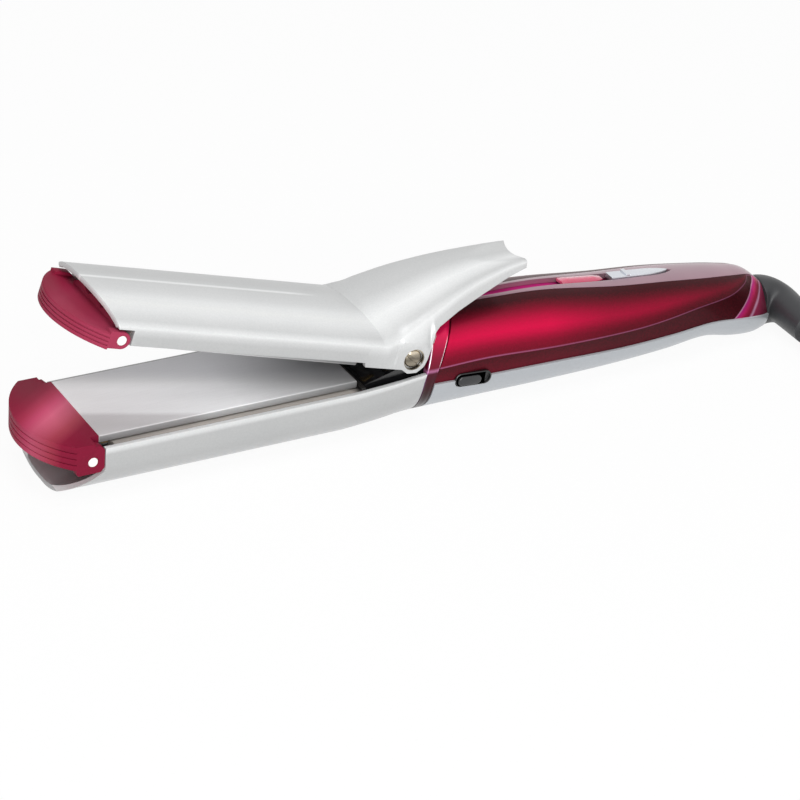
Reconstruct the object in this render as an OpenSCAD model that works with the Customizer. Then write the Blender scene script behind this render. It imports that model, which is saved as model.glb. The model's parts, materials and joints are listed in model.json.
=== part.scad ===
// Hair crimper: two hinged jaws with slide-in plate sets, a thumb lever,
// a two-shell handle with switch, pilot light and lock, and a swivel mains cord.
// +X runs from the jaw tips to the cord, +Z is up, the origin is on the table
// under the middle of the appliance. Millimetres.

/* [Jaws] */
// Distance from the hinge to the front of the tip caps
jaw_reach = 120; // [116:1:130]
// Height of the hinge above the table
hinge_h = 27; // [27:0.5:32]
// Wall of the jaw shells
jaw_wall = 1.8; // [1.4:0.1:2.2]
// Angle between the jaws as the appliance is drawn
open_angle = 16.6; // [10:0.1:20]
// Further angle that the thumb lever opens the upper jaw
more_angle = 13; // [6:1:14]
// Length of the thumb lever behind the hinge
lever_reach = 39.5; // [36:0.5:44]
// Width of the thumb lever at its tail
lever_tail_w = 16.2; // [12:0.2:20]

/* [Plate sets] */
// Width of the styling plates
plate_w = 34; // [32:0.5:36]
// Distance from a plate's side to the outside of its jaw
plate_side = 4; // [3.8:0.1:4.4]
// Distance from the hinge to the rear end of the plates
plate_rear = 16.9; // [16.9:0.1:20]
// Thickness of the flat plates
plate_t = 2.4; // [2:0.1:2.8]
// Gap between the two flat plates when the jaws are shut
plate_gap = 0.37; // [0.3:0.01:1]
// Distance from the hinge axis down to the lower flat plate
plate_drop = 5.72; // [5.4:0.02:6.2]
// Pitch of the crimping teeth
crimp_pitch = 9; // [7:0.5:10]
// Height of the crimping teeth
crimp_h = 2.4; // [1.6:0.1:2.6]
// Thickness of the lower tip cap
lower_cap_t = 7.8; // [7:0.1:8.4]
// Thickness of the upper tip cap
upper_cap_t = 4.8; // [4.4:0.1:5.4]
// Radius of the tip caps seen from above
cap_r = 28; // [25:0.5:32]
// Diameter of the white release pins
pin_d = 3.1; // [2.6:0.1:3.6]
// How far a release pin is pressed in
pin_travel = 1.2; // [0.8:0.1:1.6]

/* [Handle] */
// Distance from the hinge to the rear end of the handle
handle_reach = 141; // [136:1:150]
// Width of the handle behind the collar
grip_w = 39; // [36:0.5:41]
// Width of the handle at its waist
waist_w = 29.4; // [27:0.2:32]
// Width of the handle at its rear end
end_w = 19; // [17:0.5:22]
// Wall of the handle shells
handle_wall = 2; // [1.6:0.1:2.4]
// Depth of the trim strip let into the upper shell
strip_t = 1.6; // [1.2:0.1:2]
// Travel of the power slider
slider_travel = 2.4; // [1.6:0.1:2.6]
// Travel of the jaw lock
lock_travel = 3; // [2:0.1:3.4]

/* [Hinge] */
// Radius of the hinge bosses on the upper jaw
boss_r = 4.8; // [4.6:0.1:5.4]
// Radius of the shoulder that the bosses turn on
shoulder_r = 1.95; // [1.6:0.05:2.2]
// Wire diameter of the torsion spring
spring_wire = 1.2; // [1:0.1:1.4]
// Turns of the torsion spring
spring_turns = 5; // [3:1:6]

/* [Cord] */
// Diameter of the mains cord
cord_d = 6.2; // [5.8:0.1:6.6]
// Radius of the outer turn of the coiled cord
coil_r = 48.6; // [46:0.2:56]
// Turns in each of the two layers of the coil
coil_turns = 3.5; // [2.5:1:3.5]
// Gap left between neighbouring turns
coil_gap = 0.5; // [0.45:0.05:0.8]

/* [Fits] */
// Radial clearance of shafts that turn or slide
run_fit = 0.05; // [0.02:0.01:0.1]
// Gap between pieces that move past each other
move_gap = 0.4; // [0.3:0.05:0.5]

/* [Hidden] */

crimson = [0.56, 0.13, 0.24];
magenta = [0.80, 0.06, 0.30];
pearl = [0.90, 0.91, 0.91];
black = [0.07, 0.07, 0.08];
satin = [0.66, 0.67, 0.68];
brass = [0.80, 0.66, 0.35];

hinge_x = (jaw_reach - handle_reach) / 2;
jaw_half = plate_w / 2 + plate_side;
overlap = 0.1;

// ---- tables of stations: [x, value, ...], read by a smooth curve ----
function span_at(t, x, i = 0) = (i >= len(t) - 2 || x < t[i + 1][0]) ? i : span_at(t, x, i + 1);
function slope_at(t, i, c) =
    let (a = max(i - 1, 0), b = min(i + 1, len(t) - 1))
    (t[b][c] - t[a][c]) / (t[b][0] - t[a][0]);
function along(t, x, c) =
    let (
        i = span_at(t, x),
        h = t[i + 1][0] - t[i][0],
        u = max(0, min(1, (x - t[i][0]) / h)),
        m0 = slope_at(t, i, c) * h,
        m1 = slope_at(t, i + 1, c) * h
    )
    t[i][c] * (1 + 2 * u) * (1 - u) * (1 - u) + m0 * u * (1 - u) * (1 - u)
    + t[i + 1][c] * u * u * (3 - 2 * u) - m1 * u * u * (1 - u);
function straight(t, x, c) =
    let (i = span_at(t, x), u = max(0, min(1, (x - t[i][0]) / (t[i + 1][0] - t[i][0]))))
    t[i][c] * (1 - u) + t[i + 1][c] * u;

// ---- lofts ----
// Open wall between an outer and an inner grid of points, one row per station
module wall_loft(outer, inner) {
    rows = len(outer) - 1;
    n = len(outer[0]) - 1;
    w = n + 1;
    m = (rows + 1) * w;
    polyhedron(
        points = concat([for (r = outer) each r], [for (r = inner) each r]),
        faces = concat(
            [for (i = [0 : rows - 1], j = [0 : n - 1])
                [i * w + j, i * w + j + 1, (i + 1) * w + j + 1, (i + 1) * w + j]],
            [for (i = [0 : rows - 1], j = [0 : n - 1])
                [m + i * w + j, m + (i + 1) * w + j, m + (i + 1) * w + j + 1, m + i * w + j + 1]],
            [for (i = [0 : rows - 1]) [i * w, (i + 1) * w, m + (i + 1) * w, m + i * w]],
            [for (i = [0 : rows - 1])
                [i * w + n, m + i * w + n, m + (i + 1) * w + n, (i + 1) * w + n]],
            [for (j = [0 : n - 1]) [j, m + j, m + j + 1, j + 1]],
            [for (j = [0 : n - 1])
                [rows * w + j, rows * w + j + 1, m + rows * w + j + 1, m + rows * w + j]]
        )
    );
}

// Solid through a list of closed rings
module ring_loft(rings) {
    rows = len(rings) - 1;
    n = len(rings[0]);
    polyhedron(
        points = [for (r = rings) each r],
        faces = concat(
            [[for (j = [0 : n - 1]) j]],
            [for (i = [0 : rows - 1], j = [0 : n - 1])
                [i * n + j, (i + 1) * n + j, (i + 1) * n + (j + 1) % n, i * n + (j + 1) % n]],
            [[for (j = [n - 1 : -1 : 0]) rows * n + j]]
        )
    );
}

// Round tube through points; rad is one radius per point
function unit(v) = v / norm(v);
function heading(p, i) = unit(p[min(i + 1, len(p) - 1)] - p[max(i - 1, 0)]);
function tube_ring(p, i, r, sides) =
    let (t = heading(p, i), s = unit(cross([0, 0, 1], t)), u = cross(t, s))
    [for (k = [0 : sides - 1])
        p[i] + r * (cos(360 * (k + 0.5) / sides) * s + sin(360 * (k + 0.5) / sides) * u)];
module tube(p, rad, sides) {
    ring_loft([for (i = [0 : len(p) - 1]) tube_ring(p, i, rad[i], sides)]);
}

module along_y(r, y0, y1, fn = 48) {
    translate([0, y0, 0]) rotate([-90, 0, 0]) cylinder(r = r, h = y1 - y0, $fn = fn);
}
module along_x(r, x0, x1, fn = 48) {
    translate([x0, 0, 0]) rotate([0, 90, 0]) cylinder(r = r, h = x1 - x0, $fn = fn);
}
module box(lo, hi) {
    translate(lo) cube(hi - lo);
}
module both_sides() {
    children();
    mirror([0, 1, 0]) children();
}
// Everything is drawn about the hinge and then set on the table
module placed() {
    translate([hinge_x, 0, hinge_h]) children();
}
// The upper jaw turns about the hinge; its shell is drawn a little flatter than its plates
shell_tilt = 0.8;
module upper_shell_frame() {
    placed() rotate([0, open_angle - shell_tilt, 0]) children();
}
module upper_plate_frame() {
    placed() rotate([0, open_angle, 0]) translate([0, 0, plate_gap - 2 * plate_drop])
        mirror([0, 0, 1]) children();
}

// ---- handle body ----
collar_x = 8;
table_z = -hinge_h;
collar_half = jaw_half - 0.2;
collar_top = 6.8;
collar_low = -25.9;
handle_span = handle_reach - collar_x;
// [x, half width, top, bottom, seam]
HANDLE = [
    [collar_x, collar_half, collar_top, collar_low, -10.6],
    [collar_x + 0.165 * handle_span, grip_w / 2, 5.9, -26.4, -12.3],
    [collar_x + 0.345 * handle_span, grip_w / 2 - 1, 5.2, -26.8, -13.5],
    [collar_x + 0.54 * handle_span, grip_w / 2 - 2.1, 2.3, -26.4, -14.7],
    [collar_x + 0.69 * handle_span, waist_w / 2 + 1.7, 0.5, -25.3, -14.5],
    [collar_x + 0.81 * handle_span, waist_w / 2, -1.6, -24.0, -14.3],
    [collar_x + 0.90 * handle_span, waist_w / 2 - 0.5, -3.6, -26.2, -15.3],
    [collar_x + 0.96 * handle_span, end_w / 2 + 3.1, -5.6, table_z - 0.15, -16.6],
    [handle_reach, end_w / 2, -9.7, -26.9, -18.3]
];
end_z = (HANDLE[8][2] + HANDLE[8][3]) / 2;
function rake_front(z) = 3.8 + 0.019 * pow(max(0, z + 15), 2);
function rake_rear(z) = 7.9 + 0.031 * pow(max(0, z + 14), 2);
function on_table(z) = z < table_z + 0.1 ? table_z : z;
// Point on the handle's section at x; a is 0 on the near side, 90 on top
function handle_pt(x, a, inset) =
    let (
        hw = along(HANDLE, x, 1) - inset,
        top = along(HANDLE, x, 2),
        low = along(HANDLE, x, 3),
        mid = (top + low) / 2,
        z = mid + ((top - low) / 2 - inset) * sin(a),
        fade = pow(max(0, 1 - (x - collar_x) / 34), 2)
    )
    [x + (rake_rear(z) - collar_x) * fade, -hw * cos(a), inset > 0 ? z : on_table(z)];
function seam_angle(x) =
    let (top = along(HANDLE, x, 2), low = along(HANDLE, x, 3))
    asin((along(HANDLE, x, 4) - (top + low) / 2) / ((top - low) / 2));
strip_x0 = 27;
strip_from = 4;
handle_xs = concat([collar_x, collar_x + 0.05 * handle_span, collar_x + 0.10 * handle_span, strip_x0,
    strip_x0 + 0.1], [for (f = [0.20, 0.27, 0.345, 0.44, 0.54, 0.62, 0.69, 0.75, 0.81, 0.855, 0.90, 0.93,
    0.96, 0.982, 1]) collar_x + f * handle_span]);
upper_steps = 7;
lower_steps = 12;
// Half of the upper shell's section is upper_steps wide, with the strip's channel between
function upper_angles(x, inset) =
    let (
        a0 = seam_angle(x),
        a1 = acos(along(STRIP, x, 1) / (along(HANDLE, x, 1) - inset)),
        side = [for (j = [0 : upper_steps]) a0 + (a1 - a0) * j / upper_steps]
    )
    concat(side, [a1 + 1, 90, 179 - a1], [for (j = [upper_steps : -1 : 0]) 180 - side[j]]);
function upper_row(x, inset) = [for (a = upper_angles(x, inset)) handle_pt(x, a, inset)];
function channel_row(x) =
    let (row = upper_row(x, 0), h = along(STRIP, x, 1), floor = top_z(x) - strip_t, n = upper_steps)
    [for (j = [0 : len(row) - 1]) j > n && j < n + 4 ? [top_x(x), (j - n - 2) * h, floor] : row[j]];
function lower_row(x, inset) =
    let (a = seam_angle(x))
    [for (j = [0 : lower_steps]) handle_pt(x, 180 - a + (180 + 2 * a) * j / lower_steps, inset)];

// ---- trim strip along the top of the handle ----
// [x, half width]
STRIP = [[strip_x0 - 6, 2.8], [46, 3.0], [62, 3.3], [handle_reach - 50, 4.9], [handle_reach - 27, 5.4],
    [handle_reach - 11, 4.3], [handle_reach, 2.2]];
function top_z(x) = along(HANDLE, x, 2);
function top_x(x) = handle_pt(x, 90, 0)[0];
function crown_drop(x, y) =
    let (hw = along(HANDLE, x, 1), b = (top_z(x) - along(HANDLE, x, 3)) / 2)
    b * (1 - sqrt(1 - pow(y / hw, 2)));
function ribbon_ring(x, h, top, floor) =
    let (X = top_x(x), e = top_z(x) - crown_drop(x, h) + top, m = top_z(x) + top)
    [[X, -h, top_z(x) - floor], [X, -h, e], [X, 0, m], [X, h, e], [X, h, top_z(x) - floor]];
strip_xs = [for (i = [strip_from : len(handle_xs) - 1]) handle_xs[i]];
slot_half = 2.3;
slot_x0 = strip_x0 + 1.5;
slot_x1 = handle_reach - 34.5;
lens_x0 = 64;
lens_x1 = 79.6;
slider_len = 22.4;
slider_x1 = slot_x1 - 1.6;
slider_x0 = slider_x1 - slider_len;
slider_mid = (slider_x0 + slider_x1) / 2;
slider_tilt = atan((top_z(slider_x0) - top_z(slider_x1)) / slider_len);
stem_x = 4;
stem_y = 2.2;
module slot_outline(x0, x1, half, point) {
    polygon([[x0, -half], [x1 - point, -half], [x1 - 0.35 * point, -0.62 * half], [x1, 0],
        [x1 - 0.35 * point, 0.62 * half], [x1 - point, half], [x0, half]]);
}
module slider_frame() {
    translate([slider_mid, 0, top_z(slider_mid)]) rotate([0, slider_tilt, 0]) children();
}

module handle_upper_shell() {
    color(magenta) placed() difference() {
        wall_loft([for (x = handle_xs) x > strip_x0 ? channel_row(x) : upper_row(x, 0)],
            [for (x = handle_xs) upper_row(x, handle_wall)]);
        slider_frame() box([-slider_travel - stem_x / 2 - move_gap, -stem_y / 2 - move_gap, -8],
            [stem_x / 2 + move_gap, stem_y / 2 + move_gap, 2]);
        translate([led_x, 0, -6]) cylinder(r = led_r + move_gap / 2, h = 12, $fn = 32);
        lock_stadium(lock_bezel_len, lock_bezel_h, -24, -15);
    }
}
module handle_lower_shell() {
    color(pearl) placed() difference() {
        wall_loft([for (x = handle_xs) lower_row(x, 0)], [for (x = handle_xs) lower_row(x, handle_wall)]);
        lock_stadium(lock_bezel_len, lock_bezel_h, -24, -15);
        for (x = post_xs) screw_hole(x);
    }
}
module control_strip() {
    color([0.69, 0.55, 0.59]) placed() difference() {
        ring_loft([for (x = strip_xs) ribbon_ring(x, along(STRIP, x, 1) - 0.02, 0.1, strip_t)]);
        translate([0, 0, -20]) linear_extrude(40) slot_outline(slot_x0, slot_x1, slot_half, 9);
    }
}
module pilot_lens() {
    lens_xs = [for (i = [0 : 4]) lens_x0 + (lens_x1 - lens_x0) * i / 4];
    color([0.88, 0.25, 0.42]) placed() ring_loft([for (x = lens_xs)
        ribbon_ring(x, slot_half - run_fit - 1.1 * pow(max(0, (x - lens_x1 + 4) / 4), 2), 0.25,
            strip_t - 0.05)]);
}

// Band round the neck, its two edges raked
ring_steps = 32;
ring_wall = 2.2;
ring_gap = 0.12;
module collar_ring() {
    mid = (collar_top + collar_low) / 2;
    b = (collar_top - collar_low) / 2;
    function corner(a, inset, rear) =
        let (z = mid + (b - inset) * sin(a))
        [rear ? rake_rear(z) - ring_gap : rake_front(z) + ring_gap, -(collar_half - inset) * cos(a), z];
    n = ring_steps;
    color(magenta) placed() polyhedron(
        points = concat(
            [for (j = [0 : n - 1]) corner(360 * j / n, 0, false)],
            [for (j = [0 : n - 1]) corner(360 * j / n, 0, true)],
            [for (j = [0 : n - 1]) corner(360 * j / n, ring_wall, true)],
            [for (j = [0 : n - 1]) corner(360 * j / n, ring_wall, false)]),
        faces = [for (k = [0 : 3], j = [0 : n - 1])
            let (a = k * n, b2 = ((k + 1) % 4) * n, e = (j + 1) % n) [a + j, a + e, b2 + e, b2 + j]]
    );
}

// ---- jaw lock on the near side ----
lock_x = 22.4;
lock_z = -11.9;
lock_bezel_len = 13.2;
lock_bezel_h = 4.6;
lock_len = 8.2;
lock_h = 3.0;
lock_slot_h = 1.4;
lock_y = -19.3;
lock_stem_len = 3;
lock_tilt = 4;
module lock_stadium(len, h, y0, y1, shift = 0) {
    translate([lock_x, 0, lock_z]) rotate([0, lock_tilt, 0]) translate([shift, 0, 0]) {
        box([-(len - h) / 2, y0, -h / 2], [(len - h) / 2, y1, h / 2]);
        for (s = [-1, 1]) translate([s * (len - h) / 2, 0, 0]) along_y(h / 2, y0, y1, 32);
    }
}
lock_shift = -lock_travel / 2;
module lock_bezel() {
    color(black) placed() difference() {
        lock_stadium(lock_bezel_len, lock_bezel_h, lock_y, lock_y + 2.4);
        lock_stadium(lock_stem_len + lock_travel + 2 * move_gap, lock_slot_h + 2 * move_gap,
            lock_y - 1, lock_y + 4);
    }
}
module jaw_lock() {
    color([0.16, 0.16, 0.17]) placed() {
        lock_stadium(lock_len, lock_h, lock_y - 1.4, lock_y - move_gap, lock_shift);
        lock_stadium(lock_stem_len, lock_slot_h, lock_y - move_gap - overlap, lock_y + 4, lock_shift);
    }
}

// ---- inside the handle ----
chassis_z = -13;
chassis_t = 2;
chassis_half = 9;
chassis_x0 = 13;
chassis_x1 = handle_reach - 17;
post_xs = [44, handle_reach - 35];
screw_neck_x = -4;
screw_head_r = 2.9;
screw_head_t = 1;
screw_shank_r = 1.4;
screw_grip = 1.1;
post_r = 3.2;
post_lift = 2.6;
board_t = 1.6;
board_x0 = 40;
board_x1 = handle_reach - 37;
board_z = chassis_z + chassis_t;
led_x = 72;
led_r = 1.5;
switch_x0 = slider_mid - 9;
switch_x1 = slider_mid + 8;
switch_top = top_z(slider_mid) - 5.6;
module handle_chassis() {
    color([0.2, 0.2, 0.21]) placed() difference() {
        union() {
            box([chassis_x0, -chassis_half, chassis_z], [chassis_x1, chassis_half, board_z]);
            for (x = post_xs) screw_post(x, chassis_z);
        }
        for (x = post_xs) screw_bore(x);
    }
}
// The screws come up from below: seat, clearance hole, and a post with its bore
function screw_low(x) = x < collar_x ? straight(LOWER, x, 4) : along(HANDLE, x, 3);
module screw_hole(x) {
    translate([x, 0, table_z - 1])
        cylinder(r = screw_head_r + run_fit, h = screw_low(x) + screw_grip - table_z + 1, $fn = 32);
    translate([x, 0, table_z - 1]) cylinder(r = screw_shank_r + 0.2, h = 8, $fn = 32);
}
module screw_post(x, top) {
    translate([x, 0, screw_low(x) + post_lift])
        cylinder(r = post_r, h = top - screw_low(x) - post_lift + overlap, $fn = 32);
}
module screw_bore(x) {
    translate([x, 0, screw_low(x)]) cylinder(r = screw_shank_r, h = 9, $fn = 32);
}
module handle_screws() {
    color(satin) placed() for (x = concat([screw_neck_x], post_xs))
        translate([x, 0, screw_low(x) + screw_grip]) difference() {
            union() {
                translate([0, 0, -screw_head_t]) cylinder(r = screw_head_r, h = screw_head_t, $fn = 32);
                cylinder(r = screw_shank_r, h = 6.6, $fn = 32);
            }
            for (a = [0, 90]) rotate([0, 0, a])
                box([-1.7, -0.4, -screw_head_t - 1], [1.7, 0.4, -screw_head_t + 0.5]);
        }
}
module control_board() {
    color([0.10, 0.35, 0.18]) placed()
        box([board_x0, -chassis_half + 1.5, board_z], [board_x1, chassis_half - 1.5, board_z + board_t]);
}
module slide_switch() {
    color([0.25, 0.25, 0.27]) placed() difference() {
        box([switch_x0, -4, board_z + board_t], [switch_x1, 4, switch_top]);
        slider_frame() box([-slider_travel - stem_x / 2 - 2 * move_gap, -stem_y / 2 - move_gap, -9],
            [stem_x / 2 + 2 * move_gap, stem_y / 2 + move_gap, 0]);
    }
}
module pilot_led() {
    color([0.9, 0.2, 0.15]) placed() translate([led_x, 0, board_z + board_t])
        cylinder(r = led_r, h = top_z(led_x) - strip_t - board_z - board_t - 0.3, $fn = 32);
}
module thermal_fuse() {
    color([0.75, 0.72, 0.62]) placed() translate([0, 4, board_z + board_t + 1.6])
        along_x(1.6, board_x0 + 4, board_x0 + 16, 32);
}
module handle_leads() {
    z = board_z + 0.9;
    color([0.55, 0.12, 0.12]) placed() for (y = [-2.4, 2.4]) translate([0, y, z]) {
        along_x(0.9, flange_x1, board_x0, 16);
        along_x(0.9, board_x1, chassis_x1 - 1, 16);
    }
}

// ---- hinge ----
lug_out = jaw_half - 3.5;
lug_in = 7;
barrel_r = 6.8;
barrel_half = lug_out - 1.1;
axle_r = 2.4;
lug_r = axle_r + 1.2;
boss_in = lug_out + move_gap;
recess_r = 3.5;
recess_floor = jaw_half - 1.3;
screw_thread_r = 1.5;
flange_x0 = 8.6;
flange_x1 = 12.6;
neck_x = 3.4;
yoke_front = -15;
yoke_floor = -19.4;
// Disc that fills the collar's bore less a clearance
module neck_disc(x0, x1, clear) {
    fa = collar_half - ring_wall - clear;
    fb = (collar_top - collar_low) / 2 - ring_wall - clear;
    translate([x0, 0, (collar_top + collar_low) / 2]) rotate([90, 0, 90]) linear_extrude(x1 - x0)
        polygon([for (i = [0 : 31]) [fa * cos(11.25 * i), fb * sin(11.25 * i)]]);
}
module hinge_yoke() {
    foot = lug_out - 1.5;
    color(black) placed() difference() {
        union() {
            along_y(barrel_r, -barrel_half, barrel_half);
            along_y(lug_r, -lug_out + 0.4, lug_out - 0.4);
            intersection() {
                rotate([90, 0, 0]) linear_extrude(2 * lug_out, center = true)
                    polygon([[yoke_front, -13], [yoke_front, -7.4], [-6, -5], [2, -2.4],
                        [flange_x0 + 1, 1.5], [flange_x0 + 1, -13]]);
                union() {
                    box([yoke_front - 1, -lug_out, -14], [neck_x, lug_out, 2]);
                    neck_disc(neck_x - overlap, flange_x1, 0.05);
                }
            }
            translate([yoke_front, 0, 0]) rotate([90, 0, 90]) linear_extrude(flange_x0 + 1 - yoke_front)
                polygon([[-foot, -10], [foot, -10], [foot, -14], [foot - 4, yoke_floor],
                    [4 - foot, yoke_floor], [-foot, -14]]);
            screw_post(screw_neck_x, yoke_floor);
            neck_disc(flange_x0, flange_x1, 0.4);
        }
        along_y(axle_r, -lug_out - 1, lug_out + 1);
        screw_bore(screw_neck_x);
        box([-9, -lug_in, -8], [flange_x0 - 1, lug_in, 9]);
        for (y = [-contact_y, contact_y]) translate([0, y, plate_face_z - contact_drop])
            along_x(contact_r + move_gap, yoke_front - 1, yoke_front + 8, 24);
        box([flange_x0 - 1.01, -4, board_z], [flange_x1 + 1, 4, board_z + 3]);
    }
}
module hinge_axle() {
    color(satin) placed() difference() {
        along_y(axle_r, -lug_out, lug_out);
        both_sides() along_y(screw_thread_r, lug_out - 6.1, lug_out + 1, 24);
    }
}
module hinge_screws() {
    color([0.75, 0.72, 0.66]) placed() both_sides() difference() {
        union() {
            along_y(screw_thread_r, lug_out - 6, lug_out + overlap, 24);
            along_y(shoulder_r, lug_out, recess_floor + 0.3 + overlap);
            along_y(recess_r - 0.35, recess_floor + 0.3, jaw_half - 0.2);
        }
        rotate([0, 40, 0]) box([-4, jaw_half - 0.7, -0.45], [4, jaw_half, 0.45]);
    }
}
spring_r = 4.2;
spring_pitch = spring_wire + 0.9;
spring_sides = 6;
spring_rings = 8;
module torsion_spring() {
    half = spring_turns * spring_pitch / 2;
    n = spring_turns * spring_rings;
    leg = 6;
    coil = [for (i = [0 : n]) let (a = 360 * i / spring_rings)
        [spring_r * sin(a), -half + spring_pitch * i / spring_rings, -spring_r * cos(a)]];
    route = concat([[-leg, -half, -spring_r], [-leg + spring_wire, -half, -spring_r]], coil,
        [[leg - spring_wire, half, -spring_r], [leg, half, -spring_r]]);
    function lay(p, i) =
        let (t = heading(p, i), s = unit(cross([0, 1, 0], t)), u = cross(t, s))
        [for (k = [0 : spring_sides - 1]) p[i] + spring_wire / 2
            * (cos(360 * k / spring_sides) * s + sin(360 * k / spring_sides) * u)];
    color([0.6, 0.6, 0.62]) placed() ring_loft([for (i = [0 : len(route) - 1]) lay(route, i)]);
}

// ---- lower jaw ----
plate_face_z = -plate_drop;
plate_x0 = -jaw_reach + 18.3;
plate_x1 = -plate_rear;
rim_x = -jaw_reach + 7.5;
side_wall_x = plate_x0 + 0.5;
cap_floor = plate_face_z - 9.95;
rake_low = -24.5;
// [x, half width, top edge, centre of the curve, bottom]
LOWER = [
    [rim_x, jaw_half, -8, -13.4, -27.2], [-60, jaw_half, -8, -13.4, -27.2],
    [-22, jaw_half, -8, -13.4, -27.2], [-18, jaw_half, -8, -13.2, -27.1],
    [-9, jaw_half, -7.5, -12, -26.6], [0, jaw_half - 0.1, -7, -10.6, -26.1],
    [collar_x, collar_half, -6.4, (collar_top + collar_low) / 2, collar_low]
];
lower_arc = 16;
function lower_section(x, inset) =
    let (
        hw = straight(LOWER, x, 1) - inset,
        edge = straight(LOWER, x, 2),
        mid = straight(LOWER, x, 3),
        low = straight(LOWER, x, 4) + inset
    )
    concat([[hw, edge]],
        [for (j = [0 : lower_arc]) let (a = 180 * j / lower_arc) [hw * cos(a), mid + (low - mid) * sin(a)]],
        [[-hw, edge]]);
lower_xs = [rim_x, side_wall_x, -60, -22, -18, -13, -9, -4, 0, 4, collar_x];
function lower_jaw_row(x, inset) =
    [for (p = lower_section(x, inset))
        let (fade = pow(max(0, min(1, (x + 9) / (collar_x + 9))), 2))
        [x + (rake_front(p[1]) - collar_x) * fade, p[0], inset > 0 ? p[1] : on_table(p[1])]];
module lower_jaw_shell() {
    color(pearl) placed() difference() {
        wall_loft([for (x = lower_xs) lower_jaw_row(x, 0)], [for (x = lower_xs) lower_jaw_row(x, jaw_wall)]);
        translate([0, 30, 0]) rotate([90, 0, 0]) linear_extrude(60)
            polygon([[rim_x - 5, 0], [side_wall_x, 0], [side_wall_x, cap_floor], [rim_x, rake_low],
                [rim_x - 5, rake_low]]);
        screw_hole(screw_neck_x);
    }
}

// Rails and rear wall that a plate set slides into, drawn for the lower jaw
rail_out = jaw_half - jaw_wall;
rail_gap = 0.35;
module carrier(rail_low, floor_z, wall_low, wall_x0, wall_x1, wall_half) {
    both_sides() {
        box([plate_x0 + 4, plate_w / 2 + rail_gap, rail_low], [wall_x0 + overlap, rail_out, plate_face_z - 2.4]);
        box([plate_x0 + 4, plate_w / 2 - 2.2, rail_low], [wall_x0 + overlap, plate_w / 2 + rail_gap + overlap,
            floor_z]);
    }
    difference() {
        box([wall_x0, -wall_half, wall_low], [wall_x1, wall_half, plate_face_z - 1.6]);
        for (y = [-contact_y, contact_y]) translate([0, y, plate_face_z - contact_drop])
            along_x(contact_r + move_gap, wall_x0 - 1, wall_x1 + 1, 24);
    }
}
module lower_jaw_carrier() {
    color(black) placed()
        carrier(plate_face_z - 7.6, plate_face_z - plate_t - rail_gap, yoke_floor + 6.4, plate_x1 + 0.5,
            yoke_front, rail_out);
}

// ---- plate sets, drawn for the lower jaw; the upper set is their mirror image ----
contact_y = 8;
contact_r = 1.2;
contact_drop = 3.6;
heater_half = plate_w / 2 - 2.6;
heater_t = 2.2;
crimp_base = 0.9;
crimp_teeth = 3;
crimp_top_z = plate_face_z - plate_t - heater_t;
module flat_plate(x0) {
    box([x0, -plate_w / 2, plate_face_z - plate_t], [plate_x1, plate_w / 2, plate_face_z]);
}
module heater(x0) {
    box([x0 + 2, -heater_half, crimp_top_z], [plate_x1 - 1, heater_half, plate_face_z - plate_t]);
}
module crimp_outline(top, base, h) {
    half = crimp_teeth * crimp_pitch / 2;
    polygon(concat([[-half, top], [half, top], [half, top - base]],
        [for (i = [0 : 2 * crimp_teeth - 2])
            [half - (i + 1) * crimp_pitch / 2, top - base - (i % 2 == 0 ? h : 0)]],
        [[-half, top - base]]));
}
module crimp_plate(x0) {
    translate([x0 + 2, 0, 0]) rotate([90, 0, 90]) linear_extrude(plate_x1 - x0 - 3)
        crimp_outline(crimp_top_z, crimp_base, crimp_h);
}
module contacts() {
    for (y = [-contact_y, contact_y]) translate([0, y, plate_face_z - contact_drop])
        along_x(contact_r, plate_x1 - 1, plate_x1 + 7, 24);
}
// Cap: rounded front in four bands, ears with the pin bores, and a toothed back
cap_bands = 4;
groove = 0.35;
ear_in = jaw_half - 3;
module cap_body(reach, thick, wide_x) {
    band = thick / cap_bands;
    difference() {
        union() for (i = [0 : cap_bands - 1]) {
            translate([-reach + cap_r, 0, plate_face_z - (i + 1) * band + groove / 2])
                cylinder(r = cap_r, h = band - (i == 0 ? 0.5 : 1) * groove, $fn = 96);
            translate([-reach + cap_r, 0, plate_face_z - (i + 1) * band - (i == 3 ? 0 : overlap)])
                cylinder(r = cap_r - groove, h = band, $fn = 96);
        }
        box([wide_x, -60, -60], [60, 60, 60]);
        both_sides() box([-reach - 60, jaw_half, -60], [60, 60, 60]);
        box([-reach - 60, -60, plate_face_z - thick - 60], [60, 60, plate_face_z - thick]);
    }
}
module cap_back(x0, h) {
    translate([x0, 0, 0]) rotate([90, 0, 90]) linear_extrude(2)
        crimp_outline(plate_face_z - plate_t, heater_t + crimp_base, h);
}
lower_wide_x = plate_x0 - 2.8;
lower_pin_x = plate_x0 - 3.4;
lower_pin_z = plate_face_z - 6;
module lower_ear() {
    ear_x0 = plate_x0 - 8.6;
    translate([0, jaw_half, 0]) rotate([90, 0, 0]) linear_extrude(jaw_half - ear_in) polygon([
        [ear_x0, plate_face_z - 1], [plate_x0 - 1.3, plate_face_z - 1], [plate_x0 + 0.2, plate_face_z - 2.4],
        [plate_x0 + 0.2, plate_face_z - 8.4], [plate_x0 - 1, plate_face_z - 9.7],
        [ear_x0 + 0.6, plate_face_z - 9.7], [ear_x0, plate_face_z - 9]]);
}
module pin_bores(x, z) {
    both_sides() translate([x, 0, z]) along_y(pin_d / 2 + run_fit, jaw_half - pin_depth, jaw_half + 1, 32);
}
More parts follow.
